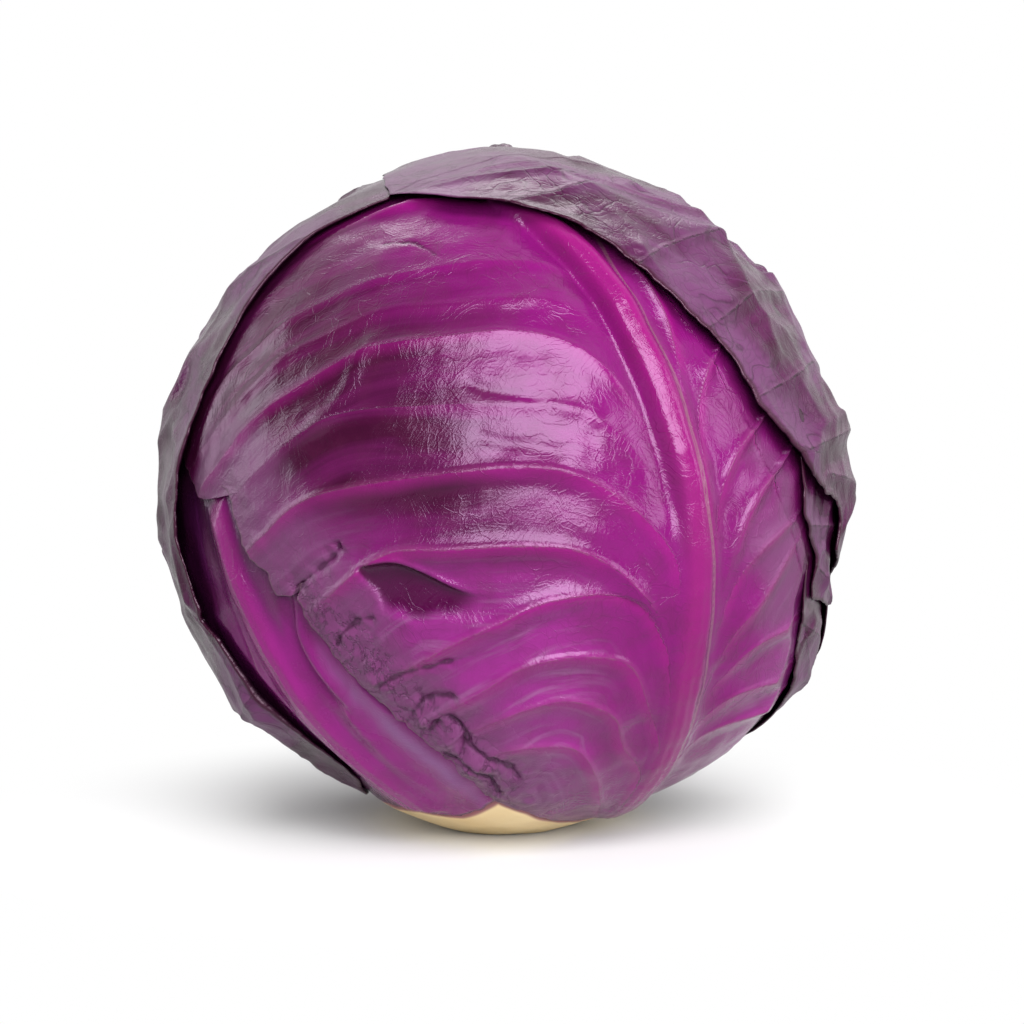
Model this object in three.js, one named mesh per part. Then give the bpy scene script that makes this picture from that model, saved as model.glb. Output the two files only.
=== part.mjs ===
// A head of red cabbage, trimmed and standing on the flat cut of its stem.
// Millimetres, +Z up. The cut face lies on Z = 0 with its centre at the origin, and the front faces -Y.
// A place on the head is a direction from its middle, [azimuth, elevation] in degrees: azimuth 0 is the
// front (-Y) and 90 the right (+X), elevation 0 is level and 90 the crown.
// Every leaf is a thin closed shell in a layer of its own, so the leaves wrap the heart without touching.
import * as THREE from 'three';

// Driving dimensions
const headMiddle = 71.2;        // height of the head's middle over the cut face
const firstLeafRadius = 69;     // outer face of the innermost loose leaves, from the head's middle
const leafStep = 1.3;           // from one layer of leaves to the next
const bladeThickness = 0.85;
const leafAir = 0.3;            // least air between leaves that lie on each other
const heartAir = 0.4;           // between the packed heart and the first leaves
const heartRadius = firstLeafRadius - bladeThickness - heartAir;
const stemRadius = 69.8;        // rounded side of the cut stem, before the swelling of its foot
const dipSlope = 0.3;           // how steeply a leaf dips to pass under the leaf above it
const dipReach = 8;             // how far outside that leaf's margin the dip begins
const rimShare = 0.55;          // share of the way out where the margin's own outline takes over
const liftShare = 0.7;          // share of the way out where the margin begins to lift
const calmSpread = 0.05;        // share of its length over which an outline is ironed
const hollowShare = 0.4;        // share of a rib's height that shows on the inner face as a hollow
const glossyRoughness = 0.35;
const dullRoughness = 0.6;

// Swellings and dents that all layers follow: place, height in mm, spread in degrees
const swellings = [
  { at: [85, -40], height: 2.1, spread: 22 },
  { at: [84, -14], height: -0.9, spread: 12 },
  { at: [-86, 0], height: 2.2, spread: 16 },
  { at: [-84, -32], height: 2.2, spread: 16 },
  { at: [-84, 38], height: 0.5, spread: 18 },
  { at: [60, 76], height: -2.0, spread: 30 },
  { at: [86, 40], height: -2.7, spread: 24 },
  { at: [-150, 20], height: 1.4, spread: 26 },
  { at: [165, -25], height: 1.2, spread: 24 },
  { at: [-6, -60], height: 2.0, spread: 24 },
];
// The stem's own foot, which stands out under the heart and takes the cut
const stemFoot = { at: [0, -90], height: 3.0, spread: 20 };

// Leaves from the inside out. margin: [azimuth, elevation, lift in mm] round the leaf.
// ribs: path, half width in mm at the base and the tip, height in mm at the base and the tip.
const leaves = [
  {
    name: 'leaf_left_inner', layer: 0, middle: [-50, -22], cells: 16, colour: '#8a2f7a',
    margin: [[-88, 18], [-76, 30], [-60, 33], [-45, 29], [-33, 18], [-25, 4], [-17, -12], [-9, -27],
      [-1, -40], [1.5, -48], [-2.2, -52.6], [-8, -56], [-16.5, -60.2], [-25, -61.6], [-36, -63], [-60, -65.2],
      [-80, -65.4], [-92, -59], [-98, -40], [-100, -20], [-97, 0]],
    ribs: [
      { path: [[-22, -59], [-29.5, -48.5], [-35, -36.5], [-41.5, -25], [-46, -14.5], [-50, -6.5], [-54, 4],
        [-58, 15]], halfWidth: [6.5, 2.5], height: [1.8, 0.8] },
      { path: [[-8, -55], [-18, -47.5], [-25.5, -36.5], [-30, -27.5], [-32, -19.5], [-34, -13.5]],
        halfWidth: [4.5, 2.5], height: [1.2, 0.5] },
    ],
  },
  {
    name: 'leaf_right_inner', layer: 0, middle: [94, -26], cells: 12, colour: '#7a5a78',
    margin: [[50, -26], [51, -40], [57, -52], [66, -60], [78, -65.5], [92, -65.5], [108, -64], [126, -54],
      [136, -36], [134, -12], [120, 6], [100, 13], [80, 9], [64, -2], [54, -14]],
    ribs: [
      { path: [[92, -64], [92, -45], [94, -25], [98, -5]], halfWidth: [4.5, 1.5], height: [1.4, 0.5] },
      { path: [[90, -55], [80, -42], [76, -34]], halfWidth: [3, 1.5], height: [0.8, 0.4] },
    ],
  },
  {
    name: 'leaf_front', layer: 1, middle: [0, 5], cells: 32, colour: '#9a2c86',
    margin: [[-36.4, -14], [-35.2, -11.2], [-36.5, -12.3], [-38, -13.7], [-40.7, -13.4], [-42.9, -9.7],
      [-46.2, -7.5], [-47.7, -5.7], [-48.7, -2.6], [-50.2, -0.3], [-51.4, 2.9], [-53.9, 3.5], [-56.8, 2.2],
      [-58.6, 0.8], [-60.5, 1], [-68, 6], [-74, 12], [-77, 24], [-80, 36], [-84, 50], [-86, 64], [-60, 75],
      [0, 79], [55, 72], [74, 56], [78, 40], [77, 20], [73, 2], [66, -15], [62.5, -28], [64.5, -38],
      [72, -46], [80, -53], [84, -60], [76, -64.6], [60, -67.2], [46, -68.2], [32, -66.4], [18.7, -63.2], [7.5, -57.8],
      [-0.5, -54], [-3, -53.2], [-6.4, -49.8], [-11.3, -44.1], [-14.4, -41.4], [-19.7, -35.8],
      [-22.9, -32.6], [-26, -29.2], [-28.8, -26.3], [-31.2, -22.8], [-34.2, -18.1]],
    ribs: [
      { path: [[53, -68], [43, -56.5], [38.5, -42.5], [34.5, -29], [33, -18], [32, -7], [31, 2.5], [29, 11.5],
        [27, 20], [24.5, 29], [21.5, 38.5], [16, 48], [8, 55.5], [-1.5, 59]],
      halfWidth: [7, 2.6], height: [2.3, 1.3] },
      // the side veins on the left of the rib, from the crown down, each arching over and drooping
      { path: [[24, 30], [20, 39], [11.5, 43.5], [-1, 44], [-19.5, 41.5], [-33.5, 37.5], [-47.5, 29.5],
        [-60, 18.5]], halfWidth: [3.2, 2.8], height: [1.3, 0.8] },
      { path: [[27, 13], [25, 22], [18, 31], [10.5, 35.5], [-1, 36], [-12.5, 35], [-23, 34], [-32.5, 30],
        [-44, 24], [-55, 14]], halfWidth: [3.4, 2.8], height: [1.5, 0.9] },
      { path: [[27, 5.5], [24.5, 13.5], [19, 22.5], [10, 28.5], [0, 30], [-11.5, 29], [-24, 26], [-29, 19.5],
        [-36, 11.5], [-40, 3.5]], halfWidth: [3.4, 2.8], height: [1.5, 1.0] },
      { path: [[27.5, -3.5], [24, 6.5], [17.5, 14], [9.5, 17.5], [-1, 18], [-14.5, 17.5], [-27.5, 16],
        [-36.5, 11.5]], halfWidth: [3.4, 2.6], height: [1.6, 0.9] },
      { path: [[29, -13], [27.5, -6], [21.5, 0.5], [13, 6], [4, 8], [-9, 7], [-25, 4.5], [-34.5, 1.5],
        [-41.5, -3.5]], halfWidth: [3.4, 2.6], height: [1.6, 0.9] },
      { path: [[32.5, -27], [28.5, -22], [22, -12], [13, -5.5], [4, -4], [-9, -4.5], [-17, -5], [-23, -8],
        [-29.5, -13]], halfWidth: [3.4, 2.6], height: [1.7, 1.1] },
      { path: [[35.5, -35], [31, -27], [24, -15.5], [17, -12], [6.5, -12.5], [-1.5, -16], [-9.5, -20],
        [-19, -25.5], [-25, -28]], halfWidth: [3.2, 2.4], height: [1.6, 0.8] },
      { path: [[36, -42], [27, -31.5], [22, -24.5], [14, -22], [4, -23], [-4.5, -28], [-12, -32.5]],
        halfWidth: [3.0, 2.4], height: [1.4, 0.8] },
      { path: [[35.5, -50], [25, -40.5], [21, -34], [12.5, -30], [4.5, -31], [-5, -35.5], [-10, -38]],
        halfWidth: [2.8, 2.2], height: [1.3, 0.7] },
      { path: [[31, -59], [21.5, -47.5], [14.5, -40.5], [5, -39.5], [-2, -41], [-6, -43.5]],
        halfWidth: [2.6, 2.2], height: [1.2, 0.7] },
      // the side veins on the right of the rib, fanning up and out
      { path: [[32, 4], [32, 13.5], [35.5, 21], [41.5, 27.5]], halfWidth: [2.8, 2.2], height: [1.3, 0.7] },
      { path: [[35.5, -16.5], [34.5, -8], [35.5, 1.5], [39.5, 9], [46.5, 14.5]], halfWidth: [2.4, 1.8],
        height: [1.1, 0.6] },
      { path: [[39.5, -29.5], [38.5, -22], [40, -13], [45, -6.5], [54.5, -1.5]], halfWidth: [2.4, 1.8],
        height: [1.1, 0.6] },
      { path: [[41, -41.5], [41, -35.5], [44, -28.5], [49, -23], [58.5, -20]], halfWidth: [2.2, 1.6],
        height: [0.9, 0.5] },
      { path: [[42, -50], [44.5, -44.5], [50.5, -39.5], [61.5, -36.5]], halfWidth: [2.2, 1.6],
        height: [0.8, 0.4] },
    ],
  },
  {
    name: 'leaf_left_outer', layer: 2, middle: [-112, 2], cells: 18, colour: '#826880',
    margin: [[-41, 59.5, 0], [-48, 54.5, 0.6], [-54.6, 49.2, 1.6], [-57.9, 39.9, 1.8], [-59.8, 32, 1.4],
      [-61, 21.6, 1.6], [-64.2, 10, 2], [-65.6, 3.5, 2.2], [-66, -6, 2], [-64.1, -14.2, 1.8],
      [-63.4, -17.5, 1.4], [-64.4, -19.6, 1.2], [-60.7, -22.4, 1.4], [-57.8, -29.4, 1.6], [-54.8, -36.7, 1.4],
      [-52.6, -43.8, 1.2], [-49.5, -51, 0.8], [-52.5, -57, 0.3], [-64, -62.5], [-82, -65.2], [-106, -64.4],
      [-130, -62.5], [-150, -60], [-163, -48], [-170, -25], [-172, 0], [-171, 25], [-166, 46], [-152, 64],
      [-124, 76], [-84, 79], [-52, 70]],
    ribs: [
      { path: [[-108, -61], [-112, -40], [-117, -18], [-120, 4], [-118, 26], [-110, 44]],
        halfWidth: [6, 1.8], height: [2.4, 0.8] },
      { path: [[-110, -46], [-97, -34], [-84, -20], [-72, -8]], halfWidth: [2.6, 1.6], height: [1.0, 0.5] },
      { path: [[-115, -26], [-101, -14], [-88, 2], [-76, 14]], halfWidth: [2.6, 1.6], height: [1.0, 0.5] },
      { path: [[-119, -4], [-105, 8], [-92, 22], [-80, 34]], halfWidth: [2.4, 1.6], height: [0.9, 0.5] },
      { path: [[-119, 18], [-104, 32], [-92, 44], [-76, 56]], halfWidth: [2.2, 1.6], height: [0.8, 0.5] },
      { path: [[-111, -46], [-124, -36], [-136, -24], [-150, -16]], halfWidth: [2.4, 1.6],
        height: [0.9, 0.4] },
    ],
  },
  {
    name: 'leaf_right_lower', layer: 2, middle: [108, -8], cells: 16, colour: '#826880',
    margin: [[61.1, -6.5], [61.4, -11.4], [60.9, -15.5, 0.4], [64.5, -20.5, 0.8], [69, -25.3, 1],
      [75, -31, 1.1], [79, -35.5, 1.2], [83, -43, 1], [88, -54, 0.8], [92, -61, 0.3], [104, -62.5],
      [122, -61.5], [138, -50], [146, -25], [146, 5], [137, 27], [115, 37], [90, 35], [70, 22], [62, 6]],
    ribs: [
      { path: [[106, -61], [106, -40], [106, -20], [108, 2]], halfWidth: [5, 1.6], height: [1.6, 0.2] },
      { path: [[106, -50], [96, -40], [86, -34]], halfWidth: [2.4, 1.6], height: [0.9, 0.5] },
    ],
  },
  {
    name: 'leaf_right_upper', layer: 3, middle: [104, 2], cells: 14, colour: '#84687f',
    margin: [[55.7, 7.2], [56, 2.6], [56.3, -1.3, 0.3], [59.6, -4.7, 0.6], [63.9, -9.1, 0.9],
      [64.4, -13.2, 1], [66, -16.2, 1.2], [73, -17.4, 1.2], [81, -19, 1.4], [86, -25, 1.2], [92, -38, 1], [97, -52, 0.6],
      [102, -60, 0.3], [118, -61], [136, -57], [149, -40], [154, -10], [148, 19], [130, 40], [104, 48],
      [80, 45], [62, 32], [56, 18]],
    ribs: [
      { path: [[120, -59], [118, -42], [114, -24], [108, -6]], halfWidth: [5, 1.6], height: [1.8, 0.3] },
      { path: [[117, -44], [106, -36], [94, -30]], halfWidth: [2.4, 1.6], height: [0.9, 0.5] },
    ],
  },
  {
    name: 'leaf_crown', layer: 4, middle: [98, 24], cells: 20, colour: '#7d5f7c',
    margin: [[-39.2, 59.5, 0.6], [-25.6, 58.4, 1], [-15, 57.1, 1], [-1.4, 55.7, 0.9], [6.3, 54.1, 0.8],
      [13.4, 52.1, 0.8], [19.4, 48.5, 0.9], [24.7, 44.6, 0.9], [29.2, 39.8, 1], [33.5, 35, 1.2],
      [36.9, 30.6, 1.2], [40.5, 26.4, 0.9], [42, 21.8, 0.7], [43.6, 16.8, 0.7], [48.2, 12.1, 0.9],
      [53.5, 7.9, 0.8], [57.4, 4.8, 0.8], [63.3, 1.6, 1], [69.6, 0, 1.3], [73, -3.5, 0.9], [72, -8.5, 0.9],
      [78, -10.5, 0.8], [84, -11, 0.6], [89, -18, 0.8], [96, -32, 1], [103, -48, 0.6], [108, -58, 0.3],
      [122, -61], [140, -60.5], [152, -58], [164, -44], [170, -20], [174, 5], [178, 26], [-175, 44],
      [-160, 57], [-134, 64], [-104, 68], [-74, 68], [-52, 64]],
    ribs: [
      { path: [[132, -59], [130, -42], [125, -22], [117, -2], [106, 18], [90, 38], [66, 54], [30, 66]],
        halfWidth: [6, 1.6], height: [2.4, 0.7] },
      { path: [[127, -28], [114, -14], [101, -4], [88, 0]], halfWidth: [2.6, 1.6], height: [1.0, 0.5] },
      { path: [[120, -8], [104, 4], [86, 10], [68, 10]], halfWidth: [2.6, 1.6], height: [1.0, 0.5] },
      { path: [[110, 12], [94, 20], [74, 23], [55, 20]], halfWidth: [2.4, 1.6], height: [0.9, 0.5] },
      { path: [[96, 32], [78, 36], [60, 36], [46, 32]], halfWidth: [2.4, 1.6], height: [0.9, 0.5] },
      { path: [[78, 47], [58, 48], [40, 46], [30, 42]], halfWidth: [2.2, 1.6], height: [0.8, 0.4] },
      { path: [[52, 59], [34, 62], [18, 60], [6, 57]], halfWidth: [2.0, 1.4], height: [0.8, 0.4] },
      { path: [[34, 66], [10, 70], [-12, 68], [-30, 62]], halfWidth: [2.0, 1.4], height: [0.8, 0.4] },
      { path: [[110, 12], [122, 24], [136, 36], [155, 46]], halfWidth: [2.4, 1.6], height: [0.9, 0.4] },
      { path: [[92, 36], [108, 48], [130, 58], [160, 66]], halfWidth: [2.2, 1.6], height: [0.8, 0.4] },
    ],
  },
  {
    name: 'leaf_back', layer: 5, middle: [180, 8], cells: 18, colour: '#84657f',
    margin: [[135, 69, 0.5], [145, 78, 0.2], [165, 83.5, 0.4], [-168, 84, 0.5], [-150, 80, 0.2],
      [-138, 73, 0.5], [-131, 60, 0.8], [-127, 38, 1.2], [-124, 16, 1], [-126, -12, 1.2], [-131, -36, 1],
      [-142, -54, 0.6], [-152, -60, 0.2], [-170, -61], [170, -61], [154, -60, 0.2], [144, -55, 0.6],
      [132, -38, 1], [126, -14, 1.2], [124, 14, 1], [127, 38, 1], [130, 56, 0.8]],
    ribs: [
      { path: [[180, -60], [179, -40], [176, -18], [175, 6], [177, 30], [-178, 52], [-174, 70]],
        halfWidth: [6.5, 1.8], height: [2.8, 0.8] },
      { path: [[179, -46], [164, -36], [150, -22], [138, -6]], halfWidth: [2.8, 1.8], height: [1.1, 0.5] },
      { path: [[177, -24], [162, -12], [148, 4], [136, 20]], halfWidth: [2.8, 1.8], height: [1.1, 0.5] },
      { path: [[175, 0], [160, 14], [148, 30], [140, 46]], halfWidth: [2.6, 1.6], height: [1.0, 0.5] },
      { path: [[177, 26], [163, 42], [154, 58]], halfWidth: [2.4, 1.6], height: [0.9, 0.5] },
      { path: [[179, -40], [-168, -30], [-154, -14], [-140, -2]], halfWidth: [2.8, 1.8], height: [1.1, 0.5] },
      { path: [[176, -12], [-170, 2], [-156, 16], [-142, 26]], halfWidth: [2.8, 1.8], height: [1.1, 0.5] },
      { path: [[176, 16], [-168, 32], [-154, 46], [-146, 58]], halfWidth: [2.4, 1.6], height: [0.9, 0.5] },
    ],
  },
];

// Outline of the cut stem, seen from the head's middle: a peak runs up between the two front leaves
const stemOutline = [[-36, -64.1], [-25, -62.7], [-16.5, -61.3], [-8, -57.1], [-2.2, -53.9], [1, -55.6],
  [7.5, -59], [18.7, -64.4], [32, -67.6], [45, -69.4], [60, -68.6], [78, -66.4], [100, -65.2], [125, -63.5],
  [150, -62], [180, -62.2], [-155, -62], [-130, -63.8], [-105, -65.6], [-80, -66.6], [-60, -66.4]];
const stemCells = 14;
const heartColumns = 36;
const heartRows = 18;
const heartMargin = 8;          // degrees past a leaf's margin that the heart still stays under it

const degrees = Math.PI / 180;
const up = new THREE.Vector3(0, 0, 1);

function direction([azimuth, elevation]) {
  const a = azimuth * degrees;
  const e = elevation * degrees;
  return new THREE.Vector3(Math.cos(e) * Math.sin(a), -Math.cos(e) * Math.cos(a), Math.sin(e));
}

const clamp01 = (value) => Math.min(1, Math.max(0, value));
const mix = (a, b, share) => a + (b - a) * share;

function smooth(low, high, value) {
  const t = clamp01((value - low) / (high - low));
  return t * t * (3 - 2 * t);
}

// A flat chart of the head round one middle direction: distance and bearing from it are kept, in degrees
function makeChart(middle) {
  const normal = direction(middle);
  const east = new THREE.Vector3().crossVectors(up, normal);
  if (east.length() < 1e-6) east.set(1, 0, 0);
  east.normalize();
  const north = new THREE.Vector3().crossVectors(normal, east);
  return {
    toChart(point) {
      const reach = Math.acos(Math.min(1, Math.max(-1, point.dot(normal)))) / degrees;
      const bearing = Math.atan2(point.dot(north), point.dot(east));
      return [reach * Math.cos(bearing), reach * Math.sin(bearing)];
    },
    toHead([x, y]) {
      const reach = Math.hypot(x, y) * degrees;
      const bearing = Math.atan2(y, x);
      return normal.clone().multiplyScalar(Math.cos(reach))
        .addScaledVector(east, Math.sin(reach) * Math.cos(bearing))
        .addScaledVector(north, Math.sin(reach) * Math.sin(bearing));
    },
  };
}

// Points spaced evenly round a closed outline; each is [x, y, lift]
function evenRound(points, count) {
  const lengths = points.map((point, i) => {
    const next = points[(i + 1) % points.length];
    return Math.hypot(next[0] - point[0], next[1] - point[1]);
  });
  const total = lengths.reduce((sum, length) => sum + length, 0);
  const result = [];
  let side = 0;
  let passed = 0;
  for (let k = 0; k < count; k += 1) {
    const target = total * k / count;
    while (passed + lengths[side] < target) {
      passed += lengths[side];
      side += 1;
    }
    const share = (target - passed) / lengths[side];
    const next = points[(side + 1) % points.length];
    result.push(points[side].map((value, axis) => mix(value, next[axis], share)));
  }
  return result;
}

// The same outline with its notches and tips ironed out, by a Gaussian mean along its length
function ironed(points, share) {
  const count = points.length;
  const spread = share * count;
  const span = Math.ceil(3 * spread);
  return points.map((_, i) => {
    const sum = [0, 0];
    let weights = 0;
    for (let k = -span; k <= span; k += 1) {
      const weight = Math.exp(-0.5 * (k / spread) ** 2);
      const other = points[(i + k + 10 * count) % count];
      sum[0] += weight * other[0];
      sum[1] += weight * other[1];
      weights += weight;
    }
    return [sum[0] / weights, sum[1] / weights];
  });
}

// Distance in degrees from a chart point to an outline: positive outside, negative inside
function outsideBy([x, y], outline) {
  let nearest = Infinity;
  let inside = false;
  for (let i = 0; i < outline.length; i += 1) {
    const [ax, ay] = outline[i];
    const [bx, by] = outline[(i + 1) % outline.length];
    const t = clamp01(((x - ax) * (bx - ax) + (y - ay) * (by - ay)) / ((bx - ax) ** 2 + (by - ay) ** 2));
    nearest = Math.min(nearest, Math.hypot(x - mix(ax, bx, t), y - mix(ay, by, t)));
    if ((ay > y) !== (by > y) && x < ax + (bx - ax) * (y - ay) / (by - ay)) inside = !inside;
  }
  return inside ? -nearest : nearest;
}

// Height of one swelling at a place on the head, and of all the shared ones together
function swelling(point, { at, height, spread }) {
  const angle = Math.acos(Math.min(1, Math.max(-1, point.dot(direction(at))))) / degrees;
  return height * Math.exp(-((angle / spread) ** 2));
}

const swell = (point) => swellings.reduce((sum, one) => sum + swelling(point, one), 0);

// Height of one rib at a place: a rounded ridge along its path, fading beyond both ends
function ridge(point, rib) {
  let best = Infinity;
  let bestShare = 0;
  for (let i = 0; i + 1 < rib.line.length; i += 1) {
    const a = rib.line[i];
    const b = rib.line[i + 1];
    const along = b.clone().sub(a);
    const t = clamp01(point.clone().sub(a).dot(along) / along.lengthSq());
    const distance = a.clone().addScaledVector(along, t).distanceTo(point) * firstLeafRadius;
    if (distance < best) {
      best = distance;
      bestShare = (i + t) / (rib.line.length - 1);
    }
  }
  const halfWidth = mix(rib.halfWidth[0], rib.halfWidth[1], bestShare);
  return mix(rib.height[0], rib.height[1], bestShare) * Math.exp(-((best / halfWidth) ** 2));
}

const layerRadius = (leaf) => firstLeafRadius + leafStep * leaf.layer;

// Outer relief of a leaf: the tallest rib there, kept low enough to pass under the leaves above
function relief(point, leaf, lift) {
  const ribs = Math.max(0, ...leaf.ribs.map((rib) => ridge(point, rib)));
  let height = ribs + lift;
  for (const other of leaves) {
    if (other.layer > leaf.layer) {
      const outside = outsideBy(other.chart.toChart(point), other.outline) * degrees * firstLeafRadius;
      const room = layerRadius(other) - bladeThickness - leafAir - layerRadius(leaf);
      height = Math.min(height, room + dipSlope * Math.max(0, outside - dipReach));
    }
  }
  return height;
}

// Grid over a disc: square cells bent so that the square's sides become the circle
function discGrid(cells) {
  const places = [];
  for (let j = 0; j <= cells; j += 1) {
    for (let i = 0; i <= cells; i += 1) {
      const x = 2 * i / cells - 1;
      const y = 2 * j / cells - 1;
      const ring = Math.max(Math.abs(x), Math.abs(y));
      let turn = 0;
      if (ring > 0) {
        if (Math.abs(x) >= Math.abs(y)) turn = (x > 0 ? 0 : 4) + y / x;
        else turn = (y > 0 ? 2 : 6) - x / y;
      }
      places.push({ ring, turn: ((turn / 8) + 1) % 1 });
    }
  }
  return places;
}

// Closed shell from two faces on the same grid: outside, inside, and the strip round the rim
function shellGeometry(cells, outside, inside) {
  const side = cells + 1;
  const positions = [...outside, ...inside].flatMap((point) => [point.x, point.y, point.z]);
  const index = [];
  const below = outside.length;
  for (let j = 0; j < cells; j += 1) {
    for (let i = 0; i < cells; i += 1) {
      const a = j * side + i;
      const b = a + 1;
      const c = a + side;
      const d = c + 1;
      const sameWay = (i < cells / 2) === (j < cells / 2);
      const pair = sameWay ? [[a, b, d], [a, d, c]] : [[a, b, c], [b, d, c]];
      for (const [p, q, r] of pair) index.push(p, q, r, p + below, r + below, q + below);
    }
  }
  const rim = [];
  for (let i = 0; i < cells; i += 1) rim.push(i);
  for (let j = 0; j < cells; j += 1) rim.push(j * side + cells);
  for (let i = cells; i > 0; i -= 1) rim.push(cells * side + i);
  for (let j = cells; j > 0; j -= 1) rim.push(j * side);
  rim.forEach((p, k) => {
    const q = rim[(k + 1) % rim.length];
    index.push(p, p + below, q, q, p + below, q + below);
  });
  const geometry = new THREE.BufferGeometry();
  geometry.setAttribute('position', new THREE.Float32BufferAttribute(positions, 3));
  geometry.setIndex(index);
  geometry.computeVertexNormals();
  return geometry;
}

const fromMiddle = (point, radius) => point.clone().multiplyScalar(radius)
  .add(new THREE.Vector3(0, 0, headMiddle));

// Place on the head of every grid point: straight spokes to the ironed outline, true outline at the rim
function spreadOver(leaf, cells) {
  const count = 32 * cells;
  const even = evenRound(leaf.outline, count);
  const calm = ironed(even, calmSpread);
  const first = even.reduce((best, _, i) => {
    const away = (k) => Math.abs(Math.atan2(calm[k][1], calm[k][0]));
    return away(i) < away(best) ? i : best;
  }, 0);
  const area = even.reduce((sum, p, i) => {
    const q = even[(i + 1) % count];
    return sum + p[0] * q[1] - q[0] * p[1];
  }, 0);
  const way = area > 0 ? 1 : -1;
  return discGrid(cells).map(({ ring, turn }) => {
    const k = (first + way * Math.round(turn * count) + 2 * count) % count;
    const own = smooth(rimShare, 1, ring);
    const x = mix(calm[k][0], even[k][0], own) * ring;
    const y = mix(calm[k][1], even[k][1], own) * ring;
    return { point: leaf.chart.toHead([x, y]), lift: even[k][2] * smooth(liftShare, 1, ring) };
  });
}

function makeLeaf(leaf) {
  const outside = [];
  const inside = [];
  for (const { point, lift } of spreadOver(leaf, leaf.cells)) {
    const bump = swell(point);
    const height = relief(point, leaf, lift);
    const raised = Math.min(height, lift) + hollowShare * Math.max(0, height - lift);
    outside.push(fromMiddle(point, layerRadius(leaf) + bump + height));
    inside.push(fromMiddle(point, layerRadius(leaf) + bump + raised - bladeThickness));
  }
  return shellGeometry(leaf.cells, outside, inside);
}

// The cut stem: a rounded plug under the heart, sliced flat at the bottom
function makeStem() {
  const outline = stemRing.map(([x, y]) => [x, y, 0]);
  const outside = [];
  const inside = [];
  for (const { point } of spreadOver({ chart: stemChart, outline }, stemCells)) {
    const low = fromMiddle(point, stemRadius + swell(point) + swelling(point, stemFoot));
    outside.push(low.z < 0 ? fromMiddle(point, headMiddle / -point.z) : low);
    inside.push(fromMiddle(point, heartRadius + leafAir + swell(point)));
  }
  return shellGeometry(stemCells, outside, inside);
}

// The packed heart: a ball that fills the head out to the loose leaves, except over the stem
function makeHeart() {
  const geometry = new THREE.SphereGeometry(1, heartColumns, heartRows);
  geometry.rotateX(Math.PI / 2);
  const position = geometry.getAttribute('position');
  const point = new THREE.Vector3();
  for (let i = 0; i < position.count; i += 1) {
    point.fromBufferAttribute(position, i).normalize();
    let radius = layerRadius(leaves[leaves.length - 1]);
    for (const leaf of leaves) {
      if (outsideBy(leaf.chart.toChart(point), leaf.outline) < heartMargin) {
        radius = Math.min(radius, layerRadius(leaf));
      }
    }
    if (outsideBy(stemChart.toChart(point), stemRing) < heartMargin) radius = firstLeafRadius;
    const placed = fromMiddle(point, radius - bladeThickness - heartAir + swell(point));
    position.setXYZ(i, placed.x, placed.y, placed.z);
  }
  geometry.computeVertexNormals();
  return geometry;
}

const stemChart = makeChart([0, -90]);
const stemRing = stemOutline.map((place) => stemChart.toChart(direction(place)));
for (const leaf of leaves) {
  leaf.chart = makeChart(leaf.middle);
  leaf.outline = leaf.margin.map(([azimuth, elevation, lift = 0]) => [
    ...leaf.chart.toChart(direction([azimuth, elevation])), lift]);
  for (const rib of leaf.ribs) {
    const curve = new THREE.CatmullRomCurve3(rib.path.map(direction), false, 'centripetal');
    rib.line = curve.getPoints(3 * rib.path.length);
  }
}

const head = new THREE.Group();

function add(name, geometry, colour, roughness) {
  const material = new THREE.MeshStandardMaterial({ color: colour, roughness, metalness: 0 });
  const mesh = new THREE.Mesh(geometry, material);
  mesh.name = name;
  head.add(mesh);
}

add('stem', makeStem(), '#e2c48c', 0.6);
add('heart', makeHeart(), '#5c1450', 0.5);
for (const leaf of leaves) {
  add(leaf.name, makeLeaf(leaf), leaf.colour, leaf.layer < 2 ? glossyRoughness : dullRoughness);
}

export default head;
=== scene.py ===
import math

import bpy
import numpy as np
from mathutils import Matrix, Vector


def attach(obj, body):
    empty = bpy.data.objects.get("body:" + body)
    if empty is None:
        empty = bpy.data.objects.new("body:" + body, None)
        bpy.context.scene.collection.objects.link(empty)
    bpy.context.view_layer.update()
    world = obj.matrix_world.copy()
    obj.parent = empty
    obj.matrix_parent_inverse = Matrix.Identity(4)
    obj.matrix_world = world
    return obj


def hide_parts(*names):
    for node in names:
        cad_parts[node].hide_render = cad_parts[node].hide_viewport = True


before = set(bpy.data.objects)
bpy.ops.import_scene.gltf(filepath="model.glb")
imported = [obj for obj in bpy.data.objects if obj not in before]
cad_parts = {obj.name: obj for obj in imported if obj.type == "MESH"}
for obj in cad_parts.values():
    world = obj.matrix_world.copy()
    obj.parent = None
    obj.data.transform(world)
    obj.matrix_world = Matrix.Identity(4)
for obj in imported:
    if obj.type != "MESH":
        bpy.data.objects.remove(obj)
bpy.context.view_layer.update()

# A head of red cabbage, standing on its cut stem. Shapes are worked out in millimetres from the middle of
# the head and turned to metres when a mesh is made. A place is a direction from the middle, [azimuth,
# elevation] in degrees: azimuth 0 is the front (-Y), 90 the right (+X), and elevation 90 the crown.

# the camera: metres, degrees and millimetres of lens
cameraSettings = {"target": (0.0013, 0.0, 0.0665), "distance": 0.607, "elevation": 5.0, "lens": 100.0,
                  "sensor": 36.0, "farthest": 50.0}


def aim(thing, target):
    thing.rotation_euler = (Vector(target) - thing.location).to_track_quat("-Z", "Y").to_euler()


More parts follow.
